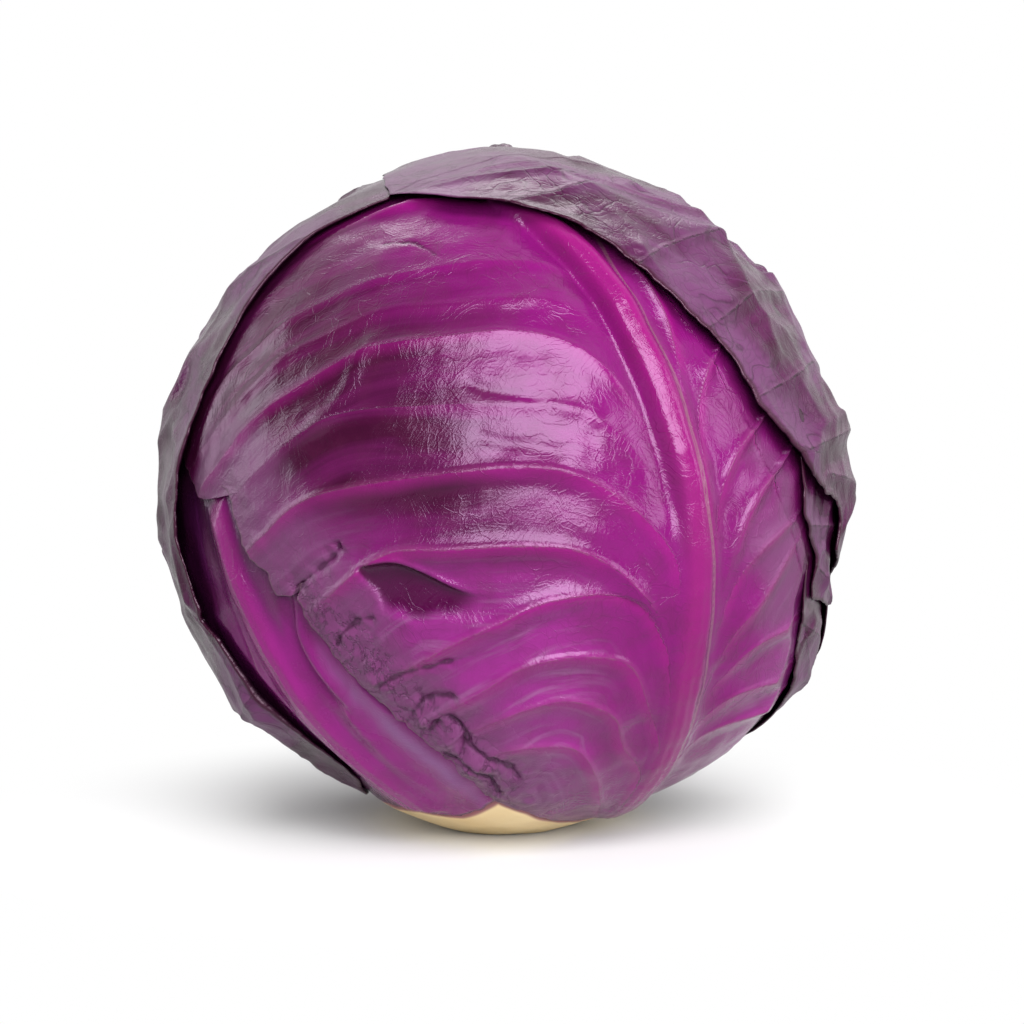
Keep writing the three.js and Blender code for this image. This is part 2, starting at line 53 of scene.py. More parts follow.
def makeCamera(look):
    data = bpy.data.cameras.new("camera")
    data.lens = look["lens"]
    data.sensor_width = look["sensor"]
    data.clip_end = look["farthest"]
    camera = bpy.data.objects.new("camera", data)
    tilt = math.radians(look["elevation"])
    camera.location = (look["target"][0], -look["distance"] * math.cos(tilt),
                       look["target"][2] + look["distance"] * math.sin(tilt))
    aim(camera, look["target"])
    bpy.context.scene.collection.objects.link(camera)
    bpy.context.scene.camera = camera
    bpy.context.scene.view_settings.view_transform = "Standard"
    print("camera done")


makeCamera(cameraSettings)

# the head as a whole, in mm
head = {
    "middle": 71.2,         # height of the middle over the cut face
    "firstLeaf": 69.0,      # radius of the innermost loose leaves' outer face
    "leafStep": 1.3,        # from one layer of leaves to the next
    "blade": 0.85,          # thickness of a leaf
    "leafAir": 0.3,         # between a leaf and the one over it
    "heartAir": 1.5,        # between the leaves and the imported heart
    "dipSlope": 0.3,        # how a leaf dips to pass under the one above it
    "dipReach": 1.5,        # and how far out from that leaf's margin the dip starts
    "openAway": 60.0,       # the cover field where no leaf lies over this one
    # where every layer swells: place, height in mm, spread in degrees
    "swellings": [
        ([85, -40], 2.1, 22), ([84, -14], -0.9, 12), ([-86, 0], 2.2, 16), ([-84, -32], 2.2, 16),
        ([-84, 38], 0.5, 18), ([60, 76], -2.0, 30), ([86, 40], -2.7, 24), ([-150, 20], 1.4, 26),
        ([165, -25], 1.2, 24), ([-6, -60], 2.0, 24),
    ],
    # where the upper layers are pressed in: place, depth in mm, spread in degrees, lowest layer pressed
    "presses": [
        ([-64, 61], 2.5, 21, 4), ([84, -6], 1.8, 24, 3), ([20, 84], 0.9, 24, 5), ([-56, -42], 1.6, 20, 2),
        ([86, 11], 4.2, 9, 4), ([100, 10], 2.2, 10, 4), ([92, -14], 1.0, 9, 4), ([-90, 60], 1.2, 10, 2),
        ([176, 84], 1.2, 16, 5), ([38, 30], 1.2, 22, 4), ([62, -8], 1.0, 12, 3), ([-50, -55], 1.2, 12, 2),
        ([45, 86], -0.8, 9, 4), ([83, -29], -2.2, 9, 2), ([-130, 6], 2.3, 30, 5),
    ],
}
mmPerDegree = math.radians(head["firstLeaf"])

# the cut stem, in mm
stemForm = {
    "radius": 69.8,
    "foot": ([0, -90], 3.0, 20),        # the stem's own swelling: place, height, spread in degrees
    "outline": [[-36, -64.2], [-25, -64.2], [-16.5, -64], [-8, -60.3], [-4.5, -58.2], [-2.2, -56.4],
                [-0.5, -57.6], [7.5, -61.5], [18.7, -66.8], [32, -69.8], [45, -71.2], [60, -70], [78, -67],
                [100, -65.2], [125, -63.5], [150, -62], [180, -62.2], [-155, -62], [-130, -63.8],
                [-105, -65.6], [-80, -66.6], [-60, -66.4]],
    "cells": 120, "outlineSteps": 3200,
    "tuck": 1.09,                       # how far its border runs on under the leaf bases
    "tuckDepth": 1.3, "tuckFrom": -0.8, "tuckTo": 1.6,
    "waves": 0.1, "waveSize": 9, "ragged": 0.1, "leastWall": 0.4,
}

# The leaves, from the inside out; sizes in mm. margin: [azimuth, elevation, lift]; rib: the midrib from base
# to tip, with its half width and height at both ends; left, right: side veins from the tip down, each from
# the rib out, with ranks for how strong they are; folds: ridges or creases as (path, half width, height);
# cracks, hollows: (path, half width, depth); gains: where the veins stand higher; facets: size of the
# crumpled flats; sink: how far these lie in; curl: how far the margin turns out; ragged: how frayed it is;
# still: where the leaf lies close and smooth; thin: where the blade is thinner; softRim, softShade: where
# the colours of the rim and of the shade fade.
leaves = [
    {
        "piece": "wrapperLeafLeft", "node": "leaf_left_inner", "slot": "glossy_leaf", "layer": 0,
        "middle": [-50, -22], "cells": 168, "finish": "rib",
        "margin": [[-88, 18], [-76, 30], [-60, 33], [-45, 29], [-33, 18], [-25, 4], [-17, -12], [-9, -27],
                   [-1, -40], [1, -50], [-2.2, -55.2], [-8, -59.2], [-16.5, -63], [-25, -63.2],
                   [-36, -63], [-60, -65.2], [-80, -65.4], [-92, -59], [-98, -40], [-100, -20], [-97, 0]],
        "rib": [[-29, -61], [-33.2, -53.6], [-37.1, -47.7], [-41.3, -40.7], [-44.1, -34.4],
                [-45.8, -28.6], [-47.8, -22.4], [-49.8, -16.5], [-52, -11], [-54, -4.6], [-56, 1],
                [-59, 12]],
        "ribHalf": [7.0, 2.4], "ribHeight": [2.6, 1.8],
        "left": [[[-50, -60], [-55, -50], [-55.3, -42.7], [-54.4, -35.7], [-53.5, -27.1], [-53.9, -20.9],
                  [-55.2, -15], [-56.3, -8.9], [-58.5, 0], [-60.5, 8]]],
        "right": [[[-20, -56], [-28.8, -45.5], [-32.5, -38], [-34.5, -31.3], [-36.6, -26.2],
                   [-38.3, -21.1], [-39.8, -14], [-43, -4]]],
        "rightRanks": [0.5],
        "veinHeight": 0.7,
        "folds": [([[-22, -55], [-28, -45.5], [-32.5, -37.4], [-34, -31.3], [-36.1, -26.2],
                    [-37.8, -21.1], [-38.5, -14]], 2.6, 0.8),
                  ([[-31.5, -37], [-34.6, -33.6], [-36.9, -30.1], [-39, -26], [-40.5, -21.3],
                    [-39.6, -14.5], [-40, -8]], 1.5, -1.7),
                  ([[-30, -40], [-33.4, -35.6], [-36.4, -31.1], [-38.4, -26.5], [-39.6, -21.3],
                    [-38.6, -15]], 0.5, 0.3),
                  ([[-63, -14], [-61, -21], [-58, -29], [-56, -38], [-54, -46], [-50, -58]], 4.0, 1.3)],
        "facets": 0, "curl": 0.0, "ragged": 0.15,
    },
    {
        "piece": "wrapperLeafRight", "node": "leaf_right_inner", "slot": "outer_leaf", "layer": 0,
        "middle": [94, -26], "cells": 120, "finish": "outer",
        "margin": [[50, -26], [51, -40], [57, -52], [66, -60], [78, -65.5], [92, -65.5], [108, -64],
                   [126, -54], [136, -36], [134, -12], [120, 6], [100, 13], [80, 9], [64, -2], [54, -14]],
        "rib": [[92, -64], [92, -45], [94, -25], [98, -5]],
        "ribHalf": [4.5, 1.5], "ribHeight": [1.4, 0.5],
        "left": [[[92, -40], [84, -30], [76, -24]], [[90, -55], [80, -42], [70, -36]]],
        "right": [[[94, -35], [106, -22], [116, -14]], [[92, -50], [108, -40], [122, -34]]],
        "veinHeight": 0.7, "folds": [([[66, -62], [74, -54], [81, -47], [88, -40], [93, -28]], 9.0, 2.0)],
        "sink": 0.6, "facets": 14, "curl": 0.0, "ragged": 0.15,
    },
    {
        "piece": "frontLeaf", "node": "leaf_front", "slot": "glossy_leaf", "layer": 1,
        "middle": [0, 5], "cells": 296, "finish": "front",
        "margin": [[-36.4, -14], [-35.2, -11.2], [-36.5, -12.3], [-38, -13.7], [-40.7, -13.4],
                   [-42.9, -9.7], [-46.2, -7.5], [-47.7, -5.7], [-48.7, -2.6], [-50.2, -0.3],
                   [-51.4, 2.9], [-53.9, 3.5], [-56.8, 2.2], [-58.6, 0.8], [-60.5, 1], [-68, 6],
                   [-74, 12], [-77, 24], [-80, 36], [-84, 50], [-86, 64], [-60, 75], [0, 79], [55, 72],
                   [74, 56], [78, 40], [77, 20], [74, 2], [73, -15], [72.5, -25], [73.5, -31], [75, -37],
                   [75, -43.5], [76.5, -50], [81, -56.5], [76, -64.6], [60, -68.6], [46, -70],
                   [32, -68.6], [18.7, -65.6], [7.5, -60.4], [-0.5, -56.6], [-3, -55], [-6.4, -50.4],
                   [-11.3, -44.1], [-14.4, -41.4], [-19.7, -35.8], [-22.9, -32.6], [-26, -29.2],
                   [-28.8, -26.3], [-31.2, -22.8], [-34.2, -18.1]],
        "rib": [[53, -68], [43, -56.5], [38.5, -42.5], [34.5, -29], [33, -18], [32, -7], [31, 2.5],
                [29, 11.5], [27, 20], [24.5, 29], [21.5, 38.5], [16, 48], [8, 55.5], [-1.5, 59]],
        "ribTail": [[-20, 60], [-45, 55], [-70, 42], [-84, 25], [-96, 5]],
        "ribHalf": [7.0, 2.8], "ribHeight": [2.3, 1.9],
        "left": [[[20, 39], [11.5, 43.5], [-1, 44], [-19.5, 41.5], [-33.5, 37.5], [-47.5, 29.5],
                  [-60, 18.5], [-63, 12.5]],
                 [[27, 13], [25, 22], [18, 31], [10.5, 35.5], [-1, 36], [-12.5, 35], [-23, 34],
                  [-32.5, 30], [-44, 24], [-55, 14]],
                 [[27, 5.5], [24.5, 13.5], [19, 22.5], [10, 28.5], [0, 30], [-11.5, 29], [-25.5, 26.5],
                  [-34, 22], [-47, 14], [-53, 8]],
                 [[27.5, -3.5], [24, 6.5], [17.5, 14], [9.5, 17.5], [-1, 18], [-14.5, 17.5], [-27.5, 16],
                  [-36.5, 11.5], [-46, 4.5]],
                 [[29, -13], [27.5, -6], [21.5, 0.5], [13, 6], [4, 8], [-9, 7], [-25, 4.5], [-34.5, 1.5],
                  [-41.5, -3.5]],
                 [[28.5, -22], [22, -12], [13, -5.5], [4, -4], [-9, -4.5], [-17, -5], [-23, -8],
                  [-29.5, -13]],
                 [[31, -27], [24, -15.5], [17, -12], [6.5, -12.5], [-1.5, -16], [-9.5, -20], [-19, -25.5],
                  [-25, -28]],
                 [[27, -31.5], [22, -24.5], [14, -22], [4, -23], [-4.5, -28], [-12, -32.5]],
                 [[35.5, -50], [25, -40.5], [21, -34], [12.5, -30], [4.5, -31], [-5, -35.5], [-10, -38]],
                 [[31, -59], [21.5, -47.5], [14.5, -40.5], [5, -39.5], [-2, -41], [-6, -43.5]]],
        "right": [[[32, 4], [32, 13], [31, 22.5], [31.5, 32.5], [29, 42]],
                  [[32.5, -4], [32, 4], [32.8, 13.5], [35.5, 21], [41.5, 27.5]],
                  [[35.5, -16.5], [34.5, -8], [35.5, 1.5], [39.5, 9], [46.5, 14.5]],
                  [[37.5, -20], [38, -13.5], [39.5, -5], [43, 1.5], [49.5, 7]],
                  [[39.5, -29.5], [38.5, -22], [40, -13], [45, -6.5], [54.5, -1.5]],
                  [[40.5, -34.5], [40.5, -29.5], [42.5, -21], [47, -15], [53, -8]],
                  [[41, -41.5], [41, -35.5], [44, -28.5], [49, -23], [58.5, -20]],
                  [[41.5, -43], [44.5, -36], [50, -32], [62.5, -29.5]],
                  [[42, -50], [44.5, -44.5], [50.5, -39.5], [61.5, -36.5]]],
        "leftRanks": [0.35, 0.35, 0.6, 0.3, 0.75, 1.0, 1.1, 0.9, 0.9, 0.9],
        "veinHeight": 1.25,
        "gains": [([-13, -9], 0.6, 8), ([-2, 12], 0.3, 14)],
        "folds": [([[-22, 30.5], [-25.5, 26.5], [-27.5, 19.5], [-31, 15], [-36, 11]], 1.9, 0.7),
                  ([[15.5, -12.5], [6.5, -14], [-2, -16.5], [-9.5, -16], [-22, -16], [-29.5, -21.5]], 1.8,
                   0.4),
                  ([[-27.5, -11.5], [-25, -9.8], [-21.7, -7.5], [-17, -6.8], [-12.6, -8.6], [-8.3, -10.7],
                    [-3, -12.3]], 0.9, 0.7),
                  ([[-8, 22.5], [-4, 20.5], [2.5, 19.3], [8.5, 17]], 1.2, -0.3),
                  ([[-6, 13.5], [-1, 12], [5, 11.2], [11.5, 9.7]], 1.3, -0.4)],
        "strands": [[23, 50], [24.5, 40.4], [26.6, 33.2], [28.1, 26.8], [29.7, 20.5], [30.8, 13],
                    [32.2, 3.9], [33.7, -3.7], [35, -10], [36.4, -18.2], [38.3, -27.1], [41, -38.6],
                    [47, -53], [57, -66]],
        "hollows": [([[-23.8, -8.6], [-21, -7.8], [-17.1, -7.5], [-12.7, -9.2], [-8.4, -11.2],
                      [-4.2, -12.4], [1, -12.6]], 9.0, 1.4)],
        "cracks": [([[-38, -14.5], [-35, -11.3], [-31.7, -9], [-28.4, -6.3], [-26.8, -3.7]], 1.3, 1.5),
                   ([[-31.5, -22.5], [-27.1, -18.2], [-24.5, -16.7], [-20.9, -16.1]], 1.0, 0.9),
                   ([[-26, -29.5], [-19.1, -25.8], [-14.9, -24.2], [-6, -22]], 0.9, 0.8),
                   ([[-20.5, -36.5], [-16.7, -32.3], [-13.6, -30], [-7, -29]], 1.1, 1.1),
                   ([[-17.5, -40], [-13.8, -35.4], [-11.2, -33.7], [-8.7, -35.4], [-7.6, -38.1],
                     [-10.5, -43.5]], 1.0, 1.6),
                   ([[-14.5, -41], [-8.8, -43.5], [-4.1, -47], [-0.7, -54]], 0.9, 1.3),
                   ([[-10, -39], [-5, -41], [1, -45], [5, -50]], 0.8, 1.0),
                   ([[-28, -28], [-25, -30.8], [-22, -35]], 1.2, 1.0),
                   ([[-34, 47.5], [-23.9, 48], [-18.3, 46.6], [-13, 43.5]], 0.5, 0.3)],
        "torn": [[-60.5, 1], [-56.8, 2.2], [-51.4, 2.9], [-47.7, -5.7], [-42.9, -9.7], [-36.4, -14],
                 [-31.2, -22.8], [-22.9, -32.6], [-11.3, -44.1], [-3, -53.2]],
        "facets": 0, "curl": 0.0, "ragged": 0.35,
    },
    {
        "piece": "outerLeafLeft", "node": "leaf_left_outer", "slot": "outer_leaf", "layer": 2,
        "middle": [-112, 2], "cells": 200, "finish": "outer",
        "margin": [[-41, 59.5, 0], [-48, 54.5, 0.2], [-54.6, 49.2, 0.4], [-57.9, 39.9, 0.3],
                   [-59.8, 32, 0.3], [-61, 21.6, 0.4], [-64.2, 10, 0.8], [-65.6, 3.5, 1.2],
                   [-66, -6, 1.4], [-64.1, -14.2, 1.2], [-63.4, -17.5, 0.9], [-64.4, -19.6, 0.6],
                   [-60.7, -22.4, 0.4], [-57.8, -29.4, 0.2], [-54.8, -36.7, 0], [-52.6, -43.8, 0],
                   [-50, -51, 0], [-54, -57, -0.5], [-64, -62.5, -0.5], [-82, -65.2], [-106, -64.4],
                   [-130, -62.5], [-150, -60], [-163, -48], [-170, -25], [-172, 0], [-171, 25],
                   [-166, 46], [-152, 64], [-124, 76], [-84, 79], [-52, 70]],
        "rib": [[-108, -61], [-112, -40], [-117, -18], [-120, 4], [-118, 26], [-110, 44]],
        "ribHalf": [6.0, 1.8], "ribHeight": [2.4, 0.8],
        "left": [[[-117, 30], [-130, 44], [-142, 52]],
                 [[-119, 8], [-134, 20], [-150, 28]],
                 [[-117, -16], [-130, -6], [-146, 2]],
                 [[-111, -46], [-124, -36], [-136, -24], [-150, -16]]],
        "right": [[[-119, 18], [-104, 32], [-92, 44], [-76, 56]],
                  [[-119, -4], [-105, 8], [-92, 22], [-80, 34]],
                  [[-115, -26], [-101, -14], [-88, 2], [-76, 14]],
                  [[-110, -46], [-97, -34], [-84, -20], [-72, -8]],
                  [[-108, -56], [-94, -50], [-78, -42], [-64, -36]]],
        "veinHeight": 0.6, "folds": [], "sink": 0.45, "facets": 15, "curl": 0.3, "ragged": 0.2,
        "still": [([-60, 62], 0.85, 20)], "softShade": ([-66, 66], 6, 18),
    },
    {
        "piece": "outerLeafRightLower", "node": "leaf_right_lower", "slot": "outer_leaf", "layer": 2,
        "middle": [108, -8], "cells": 144, "finish": "outer",
        "margin": [[61.1, -6.5], [61.4, -11.4], [60.9, -15.5], [63.5, -20.5], [67, -25.3], [71, -30.5],
                   [75, -35], [82, -39.5, 0], [89, -47, 0], [96, -57, 0], [104, -62.5], [122, -61.5],
                   [138, -50], [146, -25], [146, 5], [137, 27], [115, 37], [90, 35], [70, 22], [62, 6]],
        "rib": [[106, -61], [106, -40], [106, -20], [108, 2]],
        "ribHalf": [5.0, 1.6], "ribHeight": [1.6, 0.2],
        "left": [[[106, -28], [94, -18], [80, -14], [66, -10]],
                 [[106, -42], [98, -34], [86, -26], [70, -22]],
                 [[106, -50], [96, -40], [86, -34]]],
        "right": [[[106, -38], [120, -24], [132, -10]]],
        "veinHeight": 0.6, "folds": [], "sink": 0.9, "facets": 13, "curl": 0.08, "ragged": 0.2,
    },
    {
        "piece": "outerLeafRightUpper", "node": "leaf_right_upper", "slot": "outer_leaf", "layer": 3,
        "middle": [104, 2], "cells": 152, "finish": "outer",
        "margin": [[55.7, 7.2], [56, 2.6], [56.3, -1.3], [59.6, -4.7], [63.9, -9.1], [64.4, -13.2],
                   [66, -16.2], [73, -17.4, 0.1], [81, -19, 0.3], [86, -25, 0.2], [92, -38, 0],
                   [97, -52, 0], [102, -60, 0], [118, -61], [136, -57], [149, -40], [154, -10], [148, 19],
                   [130, 40], [104, 48], [80, 45], [62, 32], [56, 18]],
        "rib": [[120, -59], [118, -42], [114, -24], [108, -6]],
        "ribHalf": [5.0, 1.6], "ribHeight": [1.8, 0.3],
        "left": [[[114, -20], [98, -10], [82, -6], [64, -4]],
                 [[117, -38], [104, -28], [90, -20], [74, -14]],
                 [[118, -50], [108, -42], [96, -36]]],
        "right": [[[118, -40], [130, -26], [142, -12]]],
        "veinHeight": 0.6, "folds": [], "sink": 0.9, "facets": 13, "curl": 0.08, "ragged": 0.2,
    },
    {
        "piece": "crownLeaf", "node": "leaf_crown", "slot": "outer_leaf", "layer": 4,
        "middle": [98, 24], "cells": 224, "finish": "outer",
        "margin": [[-39.2, 59.5, 0.1], [-25.6, 58.4, 0.3], [-15, 57.1, 0.3], [-1.4, 55.7, 0.2],
                   [6.3, 54.1, 0.1], [13.4, 52.1, 0.1], [19.4, 48.5, 0.2], [24.7, 44.6, 0.2],
                   [29.2, 39.8, 0.2], [33.5, 35, 0.3], [36.9, 30.6, 0.3], [41, 26.4, 0.2], [43, 21.8, 0],
                   [44.8, 16.8, 0], [49.2, 12.1, 0.1], [54, 7.9, 0], [57.4, 4.8, 0], [63.3, 1.6, 0],
                   [69.6, 0, 0.1], [73, -3.5, 0], [72, -8.5, 0], [78, -10.5, 0.1], [84, -11, 0.4],
                   [92, -15, 0], [100, -28, 0], [105, -44, 0], [109, -58, 0], [122, -61], [140, -60.5],
                   [152, -58], [164, -44], [170, -20], [174, 5], [178, 26], [-175, 44], [-160, 57],
                   [-134, 64], [-104, 68], [-74, 68], [-52, 64]],
        "rib": [[132, -59], [130, -42], [125, -22], [117, -2], [106, 18], [90, 38], [66, 54], [30, 66]],
        "ribHalf": [6.0, 1.6], "ribHeight": [2.4, 0.7],
        "left": [[[52, 59], [34, 62], [18, 60], [6, 57]],
                 [[78, 47], [58, 48], [40, 46], [30, 42]],
                 [[96, 32], [78, 36], [60, 36], [46, 32]],
                 [[110, 12], [94, 20], [74, 23], [55, 20]],
                 [[120, -8], [104, 4], [86, 10], [68, 10]],
                 [[127, -28], [114, -14], [101, -4], [88, 0]]],
        "right": [[[34, 66], [10, 70], [-12, 68], [-30, 62]],
                  [[92, 36], [108, 48], [130, 58], [160, 66]],
                  [[110, 12], [122, 24], [136, 36], [155, 46]],
                  [[126, -24], [140, -10], [156, 4]]],
        "veinHeight": 0.6, "folds": [], "sink": 0.9, "facets": 15, "curl": 0.18, "ragged": 0.2,
        "still": [([-66, 64], 0.97, 22)], "thin": ([-58, 62], 0.8, 22),
        "softRim": ([-66, 66], 6, 18), "softShade": ([-66, 66], 6, 18),
    },
    {
        "piece": "outerLeafBack", "node": "leaf_back", "slot": "outer_leaf", "layer": 5,
        "middle": [180, 8], "cells": 208, "finish": "outer",
        "margin": [[135, 66, 0.3], [146, 73, 0], [162, 76, 0], [172, 80, 0.1], [178, 85, 0.1],
                   [-172, 83, 0.1], [-163, 77, 0], [-150, 74, 0], [-138, 70, 0], [-131, 60, 0.1],
                   [-127, 38, 0.2], [-124, 16, 0.1], [-126, -12, 0.2], [-131, -36, 0.1], [-142, -54, 0.1],
                   [-152, -60, 0], [-170, -61], [170, -61], [154, -60, 0], [144, -55, 0.1],
                   [132, -38, 0.2], [126, -14, 0.3], [124, 14, 0.1], [127, 38, 0.2], [130, 56, 0.1]],
        "rib": [[180, -60], [179, -40], [176, -18], [175, 6], [177, 30], [-178, 52], [-174, 70]],
        "ribHalf": [6.5, 1.8], "ribHeight": [2.8, 0.8],
        "left": [[[177, 26], [163, 42], [154, 58]],
                 [[175, 0], [160, 14], [148, 30], [140, 46]],
                 [[177, -24], [162, -12], [148, 4], [136, 20]],
                 [[179, -46], [164, -36], [150, -22], [138, -6]]],
        "right": [[[176, 16], [-168, 32], [-154, 46], [-146, 58]],
                  [[176, -12], [-170, 2], [-156, 16], [-142, 26]],
                  [[179, -40], [-168, -30], [-154, -14], [-140, -2]]],
        "veinHeight": 0.7, "folds": [], "sink": 0.6, "facets": 16, "curl": 0.15, "ragged": 0.25,
    },
]


def direction(places):
    # unit vectors of [azimuth, elevation] places
    places = np.asarray(places, float)
    azimuth, elevation = np.radians(places[..., 0]), np.radians(places[..., 1])
    return np.stack([np.cos(elevation) * np.sin(azimuth), -np.cos(elevation) * np.cos(azimuth),
                     np.sin(elevation)], -1)


def chartAxes(middle):
    normal = direction(middle)
    east = np.cross([0.0, 0.0, 1.0], normal)
    east = east / np.linalg.norm(east) if np.linalg.norm(east) > 1e-6 else np.array([1.0, 0.0, 0.0])
    return normal, east, np.cross(normal, east)


def toChart(points, axes):
    # a flat chart round one middle direction that keeps distance and bearing from it, in degrees
    normal, east, north = axes
    reach = np.degrees(np.arccos(np.clip(points @ normal, -1, 1)))
    bearing = np.arctan2(points @ north, points @ east)
    return np.stack([reach * np.cos(bearing), reach * np.sin(bearing)], -1)


def toHead(places, axes):
    # the way back from the chart to unit vectors
    normal, east, north = axes
    reach = np.radians(np.hypot(places[:, 0], places[:, 1]))[:, None]
    bearing = np.arctan2(places[:, 1], places[:, 0])[:, None]
    return np.cos(reach) * normal + np.sin(reach) * (np.cos(bearing) * east + np.sin(bearing) * north)


def smooth(low, high, value):
    # 0 at low, 1 at high, level at both ends: 3 t^2 - 2 t^3
    t = np.clip((value - low) / (high - low), 0, 1)
    return t * t * (3 - 2 * t)


def between(pair, share):
    return pair[0] + (pair[1] - pair[0]) * share


def curveThrough(points, steps=6):
    # Catmull-Rom curve: each span is the cubic that passes its ends with its neighbours' mean slopes
    p = np.asarray(points, float)
    p = np.vstack([2 * p[0] - p[1], p, 2 * p[-1] - p[-2]])
    t = np.linspace(0, 1, steps, endpoint=False)[:, None]
    spans = []
    for i in range(1, len(p) - 2):
        a, b, c, d = p[i - 1:i + 3]
        spans.append(0.5 * (2 * b + (c - a) * t + (2 * a - 5 * b + 4 * c - d) * t ** 2
                            + (3 * b - a - 3 * c + d) * t ** 3))
    return np.vstack(spans + [p[-2][None]])


def nearestOn(places, line):
    # distance in degrees to a line, the side it is on (left is +1) and the share of the way along
    best = np.full(len(places), 1e9)
    side = np.ones(len(places))
    along = np.zeros(len(places))
    for i in range(len(line) - 1):
        a, span = line[i], line[i + 1] - line[i]
        off = places - a
        t = np.clip((off @ span) / max(span @ span, 1e-12), 0, 1)
        away = off - t[:, None] * span
        gap = np.hypot(away[:, 0], away[:, 1])
        near = gap < best
        best = np.where(near, gap, best)
        side = np.where(near, np.sign(span[0] * off[:, 1] - span[1] * off[:, 0]), side)
        along = np.where(near, (i + t) / (len(line) - 1), along)
    return best, side, along


def alongCurve(leaf, places, path):
    # the same for a curve over the leaf, with the distance in mm
    gap, side, way = nearestOn(places, curveThrough(toChart(direction(path), leaf["axes"])))
    return gap * mmPerDegree, side, way


def insideOf(places, outline):
    # inside where a ray from the place crosses the outline an odd number of times
    inside = np.zeros(len(places), bool)
    x, y = places[:, 0], places[:, 1]
    for (ax, ay), (bx, by) in zip(outline, np.roll(outline, -1, 0)):
        if ay != by:
            inside ^= ((ay > y) != (by > y)) & (x < ax + (bx - ax) * (y - ay) / (by - ay))
    return inside


def outsideBy(places, outline):
    # distance in degrees to an outline: positive outside, negative inside
    gap = nearestOn(places, np.vstack([outline, outline[:1]]))[0]
    return np.where(insideOf(places, outline), -gap, gap)


def outsideLeaf(leaf, points):
    return outsideBy(toChart(points, leaf["axes"]), leaf["outline"][:, :2])


def swelling(points, centre, height, spread):
    # round hill: height * exp(-(angle from its centre / spread)^2)
    angle = np.degrees(np.arccos(np.clip(points @ direction(centre), -1, 1)))
    return height * np.exp(-(angle / spread) ** 2)


def swell(points):
    return sum(swelling(points, *one) for one in head["swellings"])


def ripple(points, size, seed, waves=14):
    # smooth unevenness of about -1 to 1: a sum of waves of one size in mm, running in all directions
    rng = np.random.default_rng(seed)
    ways = rng.normal(size=(waves, 3))
    ways *= (2 * math.pi * head["firstLeaf"] / size * rng.uniform(0.7, 1.4, (waves, 1))
             / np.linalg.norm(ways, axis=1, keepdims=True))
    total = np.zeros(len(points))
    for way, shift in zip(ways, rng.uniform(0, 2 * math.pi, waves)):
        total += np.sin(points @ way + shift)
    return total / math.sqrt(waves)


# crumpled flats of a dry leaf; lengths in shares of a flat's size, tilt in slopes, level in mm
flatForm = {"area": 0.87, "tilt": 0.055, "level": 0.12, "blend": 0.055, "dish": 1.35, "batch": 8000}


def panels(points, size, seed):
    # the squared distance to the nearest of many scattered middles, softly blended, so that the flats meet
    # in raised creases; each flat is tilted a little. Gives heights in mm and the distance to a crease.
    form, radius = flatForm, head["firstLeaf"]
    rng = np.random.default_rng(seed)
    count = int(4 * math.pi * radius ** 2 / (form["area"] * size ** 2))
    spots = rng.normal(size=(count, 3))
    spots /= np.linalg.norm(spots, axis=1, keepdims=True)
    tilts = rng.normal(size=(count, 3)) * form["tilt"]
    levels = rng.normal(size=count) * form["level"]
    height, crease = np.zeros((2, len(points)))
    for part in np.array_split(np.arange(len(points)), max(1, len(points) // form["batch"])):
        squares = 2 * radius ** 2 * (1 - np.clip(points[part] @ spots.T, -1, 1))
        weight = np.exp(-(squares - squares.min(1, keepdims=True)) / (form["blend"] * size ** 2))
        weight /= weight.sum(1, keepdims=True)
        tilted = radius * (points[part] @ tilts.T - np.sum(tilts * spots, 1))
        height[part] = (weight * (squares / (2 * radius) * form["dish"] + levels + tilted)).sum(1)
        two = np.partition(squares, 1, axis=1)[:, :2]
        crease[part] = (two[:, 1] - two[:, 0]) / (2 * size)
    return height, crease


# how a leaf's grid is spread over its outline, in shares; the frayed margin's waves are in mm
marginForm = {"ironing": 0.05, "ownFrom": 0.55, "liftFrom": 0.7,
              "waves": (9.0, 6.5, 4.7, 3.6, 2.7, 2.1, 1.6)}


def discGrid(cells):
    # square grid bent to a disc: ring is the share of the way out, turn the share of the way round
    x, y = np.meshgrid(np.linspace(-1, 1, cells + 1), np.linspace(-1, 1, cells + 1))
    x, y = x.ravel(), y.ravel()
    ring = np.maximum(np.abs(x), np.abs(y))
    flat = np.abs(x) >= np.abs(y)
    with np.errstate(divide="ignore", invalid="ignore"):
        turn = np.where(flat, np.where(x > 0, 0, 4) + y / x, np.where(y > 0, 2, 6) - x / y)
    turn = np.where(ring > 0, turn, 0)
    return ring, (turn / 8 + 1) % 1


def evenRound(outline, count):
    # the outline in equal steps
    closed = np.vstack([outline, outline[:1]])
    passed = np.concatenate([[0], np.cumsum(np.hypot(*np.diff(closed[:, :2], axis=0).T))])
    wanted = passed[-1] * np.arange(count) / count
    return np.stack([np.interp(wanted, passed, closed[:, axis]) for axis in range(3)], -1)


def ironed(points, share):
    # the outline without its notches and tips, by a Gaussian mean along its length
    count = len(points)
    steps = np.minimum(np.arange(count), count - np.arange(count)) / (share * count)
    weight = np.exp(-0.5 * steps ** 2) * (steps <= 3)
    weight /= weight.sum()
    return np.real(np.fft.ifft(np.fft.fft(points[:, :2], axis=0) * np.fft.fft(weight)[:, None], axis=0))


